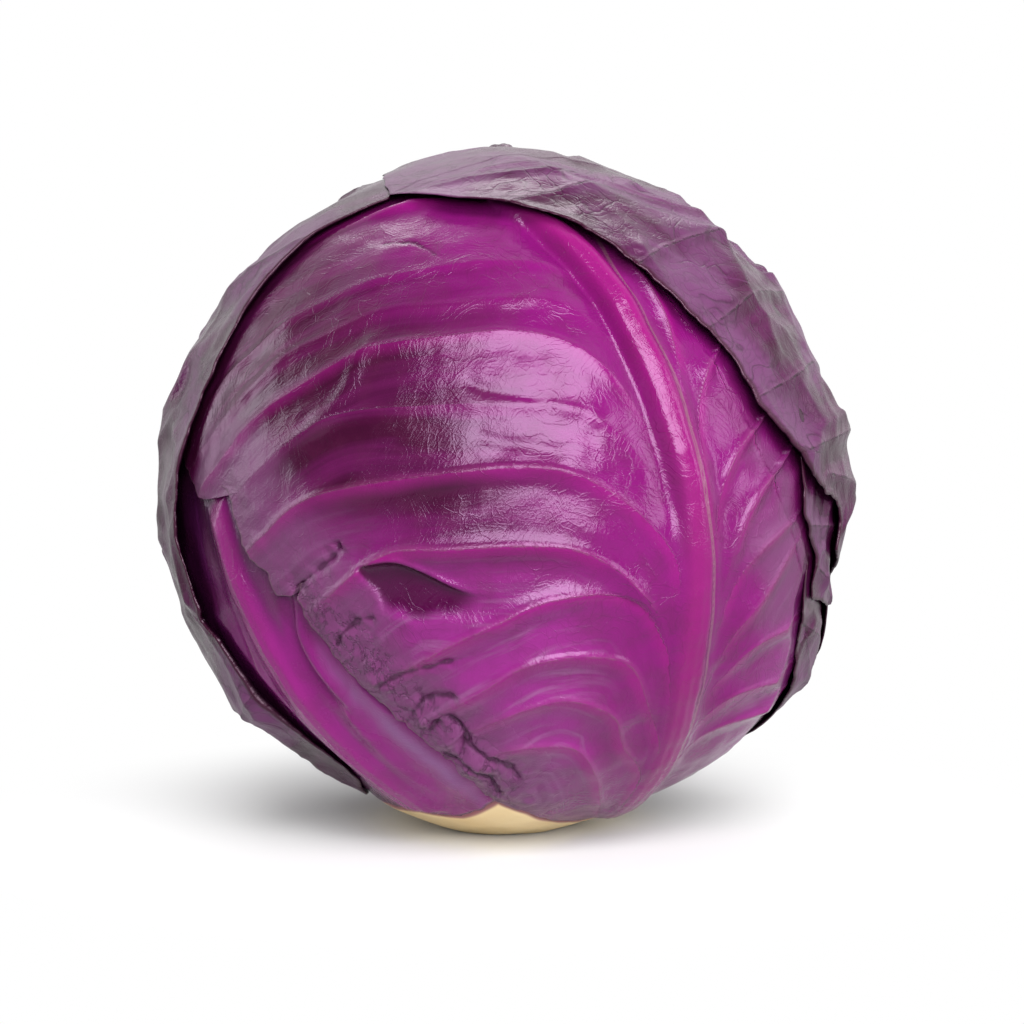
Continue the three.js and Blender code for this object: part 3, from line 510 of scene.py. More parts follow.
def spreadOver(leaf, ring, turn, count):
    # straight spokes out to the ironed outline, with the true outline taking over near the rim
    even = evenRound(leaf["outline"], count)
    calm = ironed(even, marginForm["ironing"])
    x, y = even[:, 0], even[:, 1]
    way = 1 if np.sum(x * np.roll(y, -1) - np.roll(x, -1) * y) > 0 else -1
    first = np.argmin(np.abs(np.arctan2(calm[:, 1], calm[:, 0])))
    even[:, :2] += fraying(leaf, even)
    k = (first + way * np.round(turn * count).astype(int)) % count
    own = smooth(marginForm["ownFrom"], 1, ring)[:, None]
    places = (calm[k] * (1 - own) + even[k, :2] * own) * ring[:, None]
    lift = even[k, 2] * smooth(marginForm["liftFrom"], 1, ring)
    rim = (1 - ring) * np.hypot(even[k, 0], even[k, 1]) * mmPerDegree
    return places, lift, rim


def stillness(leaf, points):
    # 1 where the leaf may wander, less in the zones where it lies close and smooth
    quiet = np.ones(len(points))
    for spot in leaf.get("still", []):
        quiet *= 1 - swelling(points, *spot)
    return quiet


def fraying(leaf, even):
    # small irregular bites and tips along the margin, in degrees: a sum of waves that swell and fade
    count = len(even)
    rng = np.random.default_rng(len(leaf["piece"]) * 7 + leaf["layer"])
    length = np.sum(np.hypot(*(np.roll(even[:, :2], -1, 0) - even[:, :2]).T)) * mmPerDegree
    turn = 2 * math.pi * np.arange(count) / count
    wave = np.zeros(count)
    longest = marginForm["waves"][0]
    for size in marginForm["waves"]:
        one = np.sin(turn * round(length / size) + rng.uniform(0, 6))
        wave += size / longest * one * (0.6 + 0.4 * np.sin(turn * rng.integers(3, 9) + rng.uniform(0, 6)))
    amount = leaf["ragged"] / mmPerDegree * stillness(leaf, toHead(even[:, :2], leaf["axes"]))
    outward = even[:, :2] / np.maximum(np.hypot(even[:, 0], even[:, 1]), 1e-6)[:, None]
    return outward * (amount * wave)[:, None]


# how the side veins are led, in degrees: they join the midrib one pitch apart and run on past the margin
veinRoute = {"merge": 8, "pitch": 0.35, "ribEnds": (12, 40), "veinEnds": (10, 25), "below": 60,
             "beside": 150, "lastGap": 8.0}


def prepareVeins(leaf):
    # nested vein lines: every side vein is led down beside the midrib to the leaf's base and out past the
    # margin, and closes off the area on its own side of the leaf below it
    route, axes = veinRoute, leaf["axes"]
    rib = curveThrough(toChart(direction(leaf["rib"]), axes))
    steps = np.diff(rib, axis=0)
    lengths = np.concatenate([[0], np.cumsum(np.hypot(*steps.T))])
    normals = np.stack([-steps[:, 1], steps[:, 0]], -1)
    normals /= np.linalg.norm(normals, axis=1, keepdims=True)
    normals = np.vstack([normals, normals[-1:]])
    if "ribTail" in leaf:
        tail = toChart(direction(leaf["ribTail"]), axes)
    else:
        tail = rib[-1] + steps[-1] / np.linalg.norm(steps[-1]) * np.array(route["ribEnds"])[:, None]
    leaf["ribOnly"] = rib
    leaf["ribLine"] = np.vstack([rib, tail])
    upward = steps[0] / np.linalg.norm(steps[0])
    for side, way in (("left", 1), ("right", -1)):
        leaf[side + "Curves"], leaf[side + "Areas"] = [], []
        for m, path in enumerate(leaf[side]):
            path = toChart(direction(path), axes)
            joint = np.argmin(np.hypot(*(rib - path[0]).T))
            keep = np.nonzero(lengths <= lengths[joint] - route["merge"])[0]
            keep = keep[::6] if len(keep) else np.array([0])
            root = rib[keep] + way * route["pitch"] * (m + 1) * normals[keep]
            end = (path[-1] - path[-2]) / np.linalg.norm(path[-1] - path[-2])
            ends = [path[-1] + far * end for far in route["veinEnds"]]
            curve = curveThrough(np.vstack([root, path] + ends))
            low = curve[0] - route["below"] * upward
            aside = low + route["beside"] * way * normals[0]
            leaf[side + "Curves"].append(curve)
            leaf[side + "Areas"].append(np.vstack([curve, aside, low]))


def veinField(leaf, places):
    # where each place lies among the veins. bands: 0 on the midrib, then one more at each side vein down to
    # the base, negative on the left; above, below: mm to the vein over and under the place; beyond: width of
    # the panel past the upper vein; upper, lower: how strong the two veins are; along: share of the midrib
    ribGap, ribSide, _ = nearestOn(places, leaf["ribLine"])
    toRib, _, along = nearestOn(places, leaf["ribOnly"])
    bands, above, below, beyond, upper, lower = np.zeros((6, len(places)))
    for side, way in (("left", 1), ("right", -1)):
        here = np.nonzero(ribSide == 1 if way == 1 else ribSide != 1)[0]
        spots = places[here]
        gaps = [ribGap[here]] + [nearestOn(spots, curve)[0] for curve in leaf[side + "Curves"]]
        gaps = np.array(gaps + [np.full(len(here), veinRoute["lastGap"])])
        under = sum(insideOf(spots, area).astype(int) for area in leaf[side + "Areas"])
        each = np.arange(len(here))
        up, down = gaps[under, each], gaps[under + 1, each]
        bands[here] = -way * (under + up / (up + down + 1e-9))
        above[here] = up * mmPerDegree
        below[here] = down * mmPerDegree
        past = np.where(under > 0, gaps[np.maximum(under - 1, 0), each] - up, up + down)
        beyond[here] = past * mmPerDegree
        ranks = np.array([1.0] + leaf.get(side + "Ranks", [1.0] * len(leaf[side])) + [1.0])
        upper[here] = ranks[under]
        lower[here] = ranks[under + 1]
    return {"bands": bands, "above": above, "below": below, "beyond": beyond, "upper": upper, "lower": lower,
            "ribGap": ribGap * mmPerDegree, "ribSide": ribSide, "along": along, "toRib": toRib * mmPerDegree}


# the midrib: flanks in shares of its half width, crest in shares of its length, the rest in mm
ribForm = {
    "leftFlank": 1.1, "rightFlank": 0.85, "crestFlank": 0.82, "tip": (0.97, 1.0),
    "grooves": (0.07, 0.025), "grooveStep": 2.3,    # depth where it is round and where it is crested
    "crestFrom": (0.35, 0.5), "crestTo": (0.85, 0.97),
    "lean": 0.14, "leanReach": 3.2,
    "valleyAt": 4.2, "valleyDepth": 1.8, "valleySteep": 1.3, "valleyWide": 5.0, "valleyInside": 0.6,
}


def midrib(leaf, vein, crested):
    # rounded ridge, height * exp(-(gap / half width)^2), steeper on its right flank and flat-topped on the
    # left of its crest, with fine grooves along it
    form, gap, along = ribForm, vein["ribGap"], vein["along"]
    half = between(leaf["ribHalf"], along)
    tall = between(leaf["ribHeight"], along)
    rounded = np.exp(-(gap / (form["leftFlank"] * half)) ** 2)
    flatTop = np.exp(-(gap / (form["crestFlank"] * half)) ** 4)
    steep = np.exp(-(gap / (form["rightFlank"] * half)) ** 3)
    share = np.where(vein["ribSide"] > 0, rounded * (1 - crested) + flatTop * crested, steep)
    share *= 1 - smooth(*form["tip"], along) * (vein["toRib"] > half)
    grooves = between(form["grooves"], crested) * np.cos(gap * 2 * math.pi / form["grooveStep"])
    return share, (tall + grooves) * share


def besideCrest(vein, crested):
    # the crest leans to the left, and a V-shaped valley keeps it apart from the panels there
    form, gap = ribForm, vein["ribGap"]
    left = vein["ribSide"] > 0
    lean = form["lean"] * crested * gap * np.where(left, 1, -1) * np.exp(-(gap / form["leanReach"]) ** 2)
    past = np.abs(gap - form["valleyAt"])
    slope = np.where(gap < form["valleyAt"], (past / form["valleySteep"]) ** 2,
                     (past / form["valleyWide"]) ** 1.3)
    return lean, form["valleyDepth"] * crested * left * np.exp(-slope)


# the panels between side veins, in mm; a pair gives the value high up and what low panels add to it
panelForm = {
    "climb": (0.55, 0.2), "climbFrom": 0.08, "brow": 0.5, "browReach": 1.7,
    "drop": (1.05, 0.2), "dropReach": (2.1, 1.7),
    "thread": 0.16, "threadReach": 0.6, "threadFrom": (6, 22), "roomy": (1.5, 9.0),
    "unevenSize": 26, "uneven": 0.3, "lowGain": 0.55, "fade": 0.4, "fadeOver": (10, 75),
    "lowCalm": 0.5, "lowCalmOver": (10, 36),
}


def sideVeins(leaf, points, vein, low):
    # like shingles: a panel climbs by its share of the way down to a brow over the next vein, and drops
    # steeply, by exp(-(gap / reach)^2), under the vein above it; a fine thread runs on each vein
    form, above, below = panelForm, vein["above"], vein["below"]
    span = above + below
    uneven = form["uneven"] * ripple(points, form["unevenSize"], leaf["layer"] * 10 + 3)
    uneven += 1 + form["lowGain"] * low
    uneven *= 1 - form["fade"] * smooth(*form["fadeOver"], vein["ribGap"])
    for spot in leaf.get("gains", []):
        uneven += swelling(points, *spot)
    uneven *= 1 - form["lowCalm"] * low * (1 - smooth(*form["lowCalmOver"], vein["ribGap"]))
    climb, drop, reach = [form[key][0] + form[key][1] * low for key in ("climb", "drop", "dropReach")]
    climb = climb * smooth(form["climbFrom"], 1, above / np.maximum(span, 0.5))
    climb = climb + form["brow"] * np.exp(-(below / form["browReach"]) ** 2)
    drop = drop * np.exp(-(above / reach) ** 2)
    thread = form["thread"] * smooth(*form["threadFrom"], vein["ribGap"])
    threadBelow, threadAbove = [thread * np.exp(-(gap / form["threadReach"]) ** 2) for gap in (below, above)]
    height = vein["lower"] * smooth(*form["roomy"], span) * (climb + threadBelow)
    height += vein["upper"] * smooth(*form["roomy"], vein["beyond"]) * (drop + threadAbove)
    return height * leaf["veinHeight"] * uneven


# cracks and hollows, in mm and shares of their length
sunkForm = {"crackWaves": 0.35, "crackWaveSize": 3, "crackEnds": 0.12, "hollowLip": 0.8, "hollowWaves": 0.15,
            "hollowWaveSize": 7, "openAway": 9.0}


def sunkBy(leaf, points):
    # depth in mm of the leaf's cracks and hollows, the distance in mm to the nearest crack and the hollow's
    # share: a crack is a V, exp(-(gap / width)^1.3), a hollow a lens with a sharp lip, exp(-(gap / width)^3)
    form = sunkForm
    places = toChart(points, leaf["axes"])
    depth, hollow = np.zeros((2, len(points)))
    crack = np.full(len(points), form["openAway"])
    for path, width, deep in leaf.get("cracks", []):
        gap, _, way = alongCurve(leaf, places, path)
        ends = smooth(0, form["crackEnds"], way) * (1 - smooth(1 - form["crackEnds"], 1, way))
        gap = gap + form["crackWaves"] * ripple(points, form["crackWaveSize"], 18) + 2 * (1 - ends)
        depth += deep * np.exp(-np.abs(gap / width) ** 1.3)
        crack = np.minimum(crack, np.abs(gap))
    for path, width, deep in leaf.get("hollows", []):
        gap, side, way = alongCurve(leaf, places, path)
        wide = width * (0.3 + 0.7 * smooth(0, 0.3, way)) * (1 - 0.6 * smooth(0.3, 0.9, way))
        wide *= 1 + form["hollowWaves"] * ripple(points, form["hollowWaveSize"], 19)
        pit = np.exp(-(gap / np.where(side > 0, form["hollowLip"], wide)) ** 3)
        pit *= smooth(0, 0.08, way) * (1 - smooth(0.55, 1, way))
        depth += deep * pit
        hollow = np.maximum(hollow, pit)
    return depth, crack, hollow


# The skin of each kind of leaf: extra height in mm, and the fields that its colours follow. Waves are given
# as (height, size in mm, seed); reaches are in mm, and places on the chart in degrees.
frontForm = {
    "tornReach": (3, 20), "bitten": (-24, -12), "tornBloom": (4, 30),
    "crumples": (14, 31), "bubbles": (6, 32), "tornWaves": (0.12, 3.2, 37),
    "waves": [(0.16, 13, 33), (0.05, 5, 36)],
    "lowFrom": (-26, -2), "vividReach": (10, 52), "lowToneAndFloorLightReach": (12, 30),
    "sideBloom": (30, 58), "topBloom": (42, 62), "leftBloom": (-34, -62), "bloomWaves": (0.15, 16, 34),
}
outerForm = {"waves": [(0.10, 6.0, 41), (0.22, 15, 51)]}
ribLeafForm = {"waves": [(0.1, 9, 61)], "bloomWaves": (0.1, 18, 62), "vividFrom": (2, -30), "vividAt": 22,
               "leftDull": (7, 13), "rightBloom": (7, 20)}


def frontSkin(leaf, points, places, vein, low):
    # full colour near the midrib and low down, bloomed at the sides, and crumpled beside the torn edge,
    # where rounded creases, |waves|^0.8, meet small bubbles, the root of waves squared; low down the full
    # colour and a lighter wash are partly the leaf's own and partly painted light from the floor
    form, x, y = frontForm, places[:, 0], places[:, 1]
    torn = nearestOn(places, toChart(direction(leaf["torn"]), leaf["axes"]))[0] * mmPerDegree
    rough = 1 - smooth(*form["tornReach"], torn)
    bitten = 1 - 0.8 * smooth(*form["bitten"], y)
    crumple = 1.1 * np.abs(ripple(points, *form["crumples"])) ** 0.8 - 1.1
    crumple += 0.4 * np.sqrt(ripple(points, *form["bubbles"]) ** 2 + 0.1)
    crumple = 0.8 * np.maximum(crumple, -0.6) + wavesOf(points, [form["tornWaves"]])
    bloom = smooth(*form["sideBloom"], x) * (1 - 0.45 * low) + smooth(*form["topBloom"], y) * 0.3
    bloom = np.maximum(1 - smooth(*form["tornBloom"], torn), bloom + wavesOf(points, [form["bloomWaves"]]))
    # low down: full colour, partly the leaf's own and partly painted light from the floor
    vivid = np.maximum(1 - smooth(*form["vividReach"], vein["toRib"]), low * 0.9) * (1 - 0.7 * rough)
    return rough * bitten * crumple + wavesOf(points, form["waves"]), {
        "bloom": np.maximum(bloom, 0.6 * smooth(*form["leftBloom"], x)),
        # a lighter wash on the low panels, partly their own violet and partly painted light from the floor
        "lowToneAndFloorLight": low * smooth(*form["lowToneAndFloorLightReach"], vein["ribGap"]) * (1 - 0.5 * rough),
        "vivid": np.where(vein["ribSide"] > 0, vivid, np.maximum(vivid, 0.3)),
        "rough": rough * (0.25 + 0.75 * bitten),
    }


def ribSkin(leaf, points, places, vein, low):
    # full colour round the stout midrib, dull to the left of it and bloomed to the right
    form = ribLeafForm
    leftGap = np.where(vein["ribSide"] > 0, vein["ribGap"], 0)
    rightGap = np.where(vein["ribSide"] < 0, vein["ribGap"], 0)
    vivid = smooth(*form["vividFrom"], places[:, 1] - form["vividAt"])
    return wavesOf(points, form["waves"]), {
        "vivid": vivid * (1 - 0.65 * smooth(*form["leftDull"], leftGap)),
        "bloom": smooth(*form["rightBloom"], rightGap) + wavesOf(points, [form["bloomWaves"]]),
    }


def outerSkin(leaf, points, places, vein, low):
    # uneven all over; its crumpled flats are added to both faces of the blade
    seed = leaf["layer"] * 10
    return wavesOf(points, [(height, size, seed + more) for height, size, more in outerForm["waves"]]), {}


def wavesOf(points, waves):
    return sum(height * ripple(points, size, seed) for height, size, seed in waves)


leafSkins = {"front": frontSkin, "rib": ribSkin, "outer": outerSkin}


def bladeOf(leaf, points):
    return head["blade"] * (1 - (swelling(points, *leaf["thin"]) if "thin" in leaf else 0))


def layerRadius(leaf, points):
    radius = np.full(len(points), head["firstLeaf"] + head["leafStep"] * leaf["layer"])
    for place, depth, spread, lowest in head["presses"]:
        if leaf["layer"] >= lowest:
            radius -= swelling(points, place, depth, spread)
    return radius


def passUnder(leaf, points, height, radius):
    # a leaf keeps beneath those that lie over it: at most the room there, plus a slope times the distance
    # outside the upper leaf's margin; cover is the distance in mm outside the nearest of them
    cover = np.full(len(points), head["openAway"])
    for other in leaves:
        if other["layer"] > leaf["layer"]:
            outside = outsideLeaf(other, points) * mmPerDegree
            room = layerRadius(other, points) - sunkBy(other, points)[0] - radius
            room -= bladeOf(other, points) * (1 + head["leafAir"] / head["blade"])
            height = np.minimum(height, room + head["dipSlope"] * np.maximum(0, outside - head["dipReach"]))
            cover = np.minimum(cover, outside)
    return height, cover


# the blade's edge and base, in mm; curlFrom are elevations in degrees
edgeForm = {
    "flatRim": 0.35, "rimReach": 5, "curlReach": 4, "curlFrom": (-60, -38), "waveReach": 9, "waveSize": 17,
    "trimRise": 0.25, "trimOver": (-1.0, 6.0), "thinRim": 0.5, "insideShare": 0.4,
    "strandDepth": 0.35, "strandWidth": 0.8, "bloomSize": 38,
}


# what the skin's colours follow, as values on the mesh; inside is 1 on the blade's inner face, darkened as
# painted shade
skinFields = ("bands", "span", "force", "ribGap", "ribbed", "strand", "cover", "rim", "crease", "stemGap",
              "crack", "hollow", "vivid", "lowToneAndFloorLight", "rough", "bloom", "inside")


def leafShape(leaf, ring, turn, count, fine):
    # outer face: the layer's radius, the swellings and the sum of midrib, side veins, folds and skin, held
    # under the leaves on top; the inner face follows it at the blade's thickness, with part of the relief
    form, finish, seed = edgeForm, leaf["finish"], leaf["layer"] * 10
    places, lift, rim = spreadOver(leaf, ring, turn, count)
    points = toHead(places, leaf["axes"])
    vein = veinField(leaf, places)
    along, span = vein["along"], vein["above"] + vein["below"]
    front = finish == "front"
    low = 1 - smooth(*frontForm["lowFrom"], places[:, 1] + 0.15 * places[:, 0]) if front else 0
    crested = front * smooth(*ribForm["crestFrom"], along) * (1 - smooth(*ribForm["crestTo"], along))
    ribShare, height = midrib(leaf, vein, crested)
    height += sideVeins(leaf, points, vein, low) * (1 - 0.9 * ribShare)
    lean, valley = besideCrest(vein, crested)
    height -= lean + valley
    for path, width, rise in leaf["folds"]:
        gap, _, way = alongCurve(leaf, places, path)
        ends = smooth(0, 0.25, way) * (1 - smooth(0.75, 1, way))
        height += rise * ends * np.exp(-(gap / width) ** 2)
    depth, crack, hollow = sunkBy(leaf, points)
    height -= depth
    strand = np.full(len(points), sunkForm["openAway"])
    if "strands" in leaf:
        strand, _, way = alongCurve(leaf, places, leaf["strands"])
        groove = np.exp(-(strand / form["strandWidth"]) ** 2)
        height -= form["strandDepth"] * smooth(0, 0.1, way) * groove
    crease = np.ones(len(points))
    if leaf["facets"]:
        flats, crease = panels(points, leaf["facets"], leaf["layer"] + 11)
        height += flats - leaf["sink"]
    more, colours = leafSkins[finish](leaf, points, places, vein, low)
    quiet = stillness(leaf, points)
    height = (height + fine * more) * quiet
    # the last few millimetres of the blade turn outward
    elevation = np.degrees(np.arcsin(np.clip(points[:, 2], -1, 1)))
    free = quiet * leaf["curl"] * smooth(*form["curlFrom"], elevation)
    firm = smooth(0, form["rimReach"], rim)
    height = height * between((form["flatRim"], 1), firm) + lift
    height += free * (1 - smooth(0, form["curlReach"], rim)) ** 2
    wavy = (1 - smooth(0, form["waveReach"], rim)) * ripple(points, form["waveSize"], seed + 71)
    height += free * 0.5 * wavy
    radius = layerRadius(leaf, points)
    height, cover = passUnder(leaf, points, height, radius)
    # the knife took the leaf bases flush with the stem
    stemGap = outsideBy(toChart(points, stemAxes), stemRing[:, :2]) * mmPerDegree
    trimmed = stemForm["radius"] + swelling(points, *stemForm["foot"]) + form["trimRise"] - radius
    height = trimmed + (height - trimmed) * smooth(*form["trimOver"], stemGap)
    raised = np.minimum(height, lift) + form["insideShare"] * np.maximum(0, height - lift)
    outer = radius + swell(points) + height
    inner = radius + swell(points) + np.minimum(raised, height) - ribForm["valleyInside"] * valley
    inner -= bladeOf(leaf, points) * between((form["thinRim"], 1), firm)
    nearer = np.where(vein["below"] < vein["above"], vein["lower"], vein["upper"])
    fields = {
        "bands": vein["bands"], "span": span, "force": nearer * smooth(*panelForm["roomy"], span),
        "ribGap": vein["ribGap"] * np.where(vein["ribSide"] > 0, -1, 1),
        "ribbed": 1 - smooth(0.93, 1.0, along), "strand": strand, "crack": crack, "hollow": hollow,
        "crease": crease, "stemGap": stemGap,
        "rim": rim + (swelling(points, *leaf["softRim"]) if "softRim" in leaf else 0),
        # cover places the painted shade beside the margins of the leaves above; softShade fades it
        "cover": cover + (swelling(points, *leaf["softShade"]) if "softShade" in leaf else 0),
        "bloom": 0.5 + 0.5 * ripple(points, form["bloomSize"], seed + 5),
    }
    return points, outer, inner, {**{key: np.zeros(len(points)) for key in skinFields}, **fields, **colours}


def gridFaces(cells):
    # two triangles a cell, split so that the long diagonals run round the disc
    side = cells + 1
    i, j = np.meshgrid(np.arange(cells), np.arange(cells))
    a = (j * side + i).ravel()
    b, c, d = a + 1, a + side, a + side + 1
    same = ((i < cells / 2) == (j < cells / 2)).ravel()[:, None]
    one = np.where(same, np.stack([a, b, d], -1), np.stack([a, b, c], -1))
    two = np.where(same, np.stack([a, d, c], -1), np.stack([b, d, c], -1))
    return np.vstack([one, two])


def rimOrder(cells):
    # the vertices round the grid's border, and those one cell further in
    side = cells + 1
    i = np.arange(cells)
    outer = np.concatenate([i, i * side + cells, cells * side + cells - i, (cells - i) * side])
    inset = np.concatenate([i + side, i * side + cells - 1, (cells - 1) * side + cells - i,
                            (cells - i) * side + 1])
    return outer, inset


def addMesh(name, points, faces, fields=None):
    mesh = bpy.data.meshes.new(name)
    mesh.vertices.add(len(points))
    mesh.vertices.foreach_set("co", np.asarray(points, np.float32).ravel())
    mesh.loops.add(faces.size)
    mesh.loops.foreach_set("vertex_index", faces.astype(np.int32).ravel())
    mesh.polygons.add(len(faces))
    mesh.polygons.foreach_set("loop_start", np.arange(0, faces.size, faces.shape[1], dtype=np.int32))
    mesh.polygons.foreach_set("use_smooth", np.ones(len(faces), bool))
    mesh.update(calc_edges=True)
    for key, values in (fields or {}).items():
        layer = mesh.attributes.new(key, "FLOAT", "POINT")
        layer.data.foreach_set("value", np.asarray(values, np.float32))
    thing = bpy.data.objects.new(name, mesh)
    bpy.context.scene.collection.objects.link(thing)
    return thing


def inPlace(points, radius):
    # from directions and mm from the head's middle to metres over the cut face
    return (points * radius[:, None] + np.array([0, 0, head["middle"]])) * 0.001


# a leaf's wall: how much coarser its inner face is and how far in it starts, the edge's two rounding rows as
# shares of the way down it, and how far they stand out in metres
wallForm = {"coarse": 4, "insideRing": 0.985, "rounding": (0.3, 0.7), "bulge": 0.0002}


def makeShell(name, cells, shape):
    # fine outer face, rounded edge, and a coarser inner face tied in by a strip of triangles
    coarse = wallForm["coarse"]
    ring, turn = discGrid(cells)
    points, outer, inner, fields = shape(ring, turn, 1)
    top = inPlace(points, outer)
    rim, inset = rimOrder(cells)
    low = inPlace(points[rim], inner[rim])
    away = top[rim] - top[inset]
    away *= wallForm["bulge"] / np.maximum(np.linalg.norm(away, axis=1, keepdims=True), 1e-9)
    edge = [between((top[rim], low), share) + away for share in wallForm["rounding"]] + [low]
    smallRing, smallTurn = discGrid(cells // coarse)
    under, _, depth, _ = shape(smallRing * wallForm["insideRing"], smallTurn, 0)
    bottom = inPlace(under, depth)
    base, count = len(top), len(rim)
    rows = [rim] + [base + row * count + np.arange(count) for row in range(len(edge))]
    faces = [gridFaces(cells)]
    for upper, lower in zip(rows, rows[1:]):
        nextUpper, nextLower = np.roll(upper, -1), np.roll(lower, -1)
        faces.append(np.stack([upper, lower, nextUpper], -1))
        faces.append(np.stack([nextUpper, lower, nextLower], -1))
    start = base + len(edge) * count
    faces.append(gridFaces(cells // coarse)[:, ::-1] + start)
    smallRim = rimOrder(cells // coarse)[0] + start
    nextRim = np.roll(smallRim, -1)
    last = np.append(rows[-1], rows[-1][0])
    for k in range(coarse):
        fineA, fineB = last[k:-1:coarse], last[k + 1::coarse]
        faces.append(np.stack([fineA, smallRim if k < coarse // 2 else nextRim, fineB], -1))
        if k == coarse // 2 - 1:
            faces.append(np.stack([fineB, smallRim, nextRim], -1))
    spread = {key: np.concatenate([values] + [values[rim]] * len(edge)
                                  + [np.full(len(bottom), values.mean())]) for key, values in fields.items()}
    # inside marks the edge and the inner face, which the colours darken as painted shade
    spread["inside"] = np.concatenate([np.zeros(base + count), np.ones(2 * count + len(bottom))])
    return addMesh(name, np.vstack([top] + edge + [bottom]), np.vstack(faces), spread)


def linear(colour):
    # sRGB hex to linear light
    parts = [int(colour[i:i + 2], 16) / 255 for i in (1, 3, 5)]
    return tuple(c / 12.92 if c <= 0.04045 else ((c + 0.055) / 1.055) ** 2.4 for c in parts) + (1.0,)


def newMaterial(name):
    material = bpy.data.materials.new(name)
    material.use_nodes = True
    material.node_tree.nodes.clear()
    return material


def addNode(tree, kind, inputs=(), out=0, **settings):
    # inputs: values or outputs to link, in order or as {name or number: value}
    node = tree.nodes.new(kind)
    for key, value in settings.items():
        setattr(node, key, value)
    for slot, value in inputs.items() if isinstance(inputs, dict) else enumerate(inputs):
        if isinstance(value, bpy.types.NodeSocket):
            tree.links.new(value, node.inputs[slot])
        else:
            node.inputs[slot].default_value = value
    return node.outputs[out] if node.outputs else node


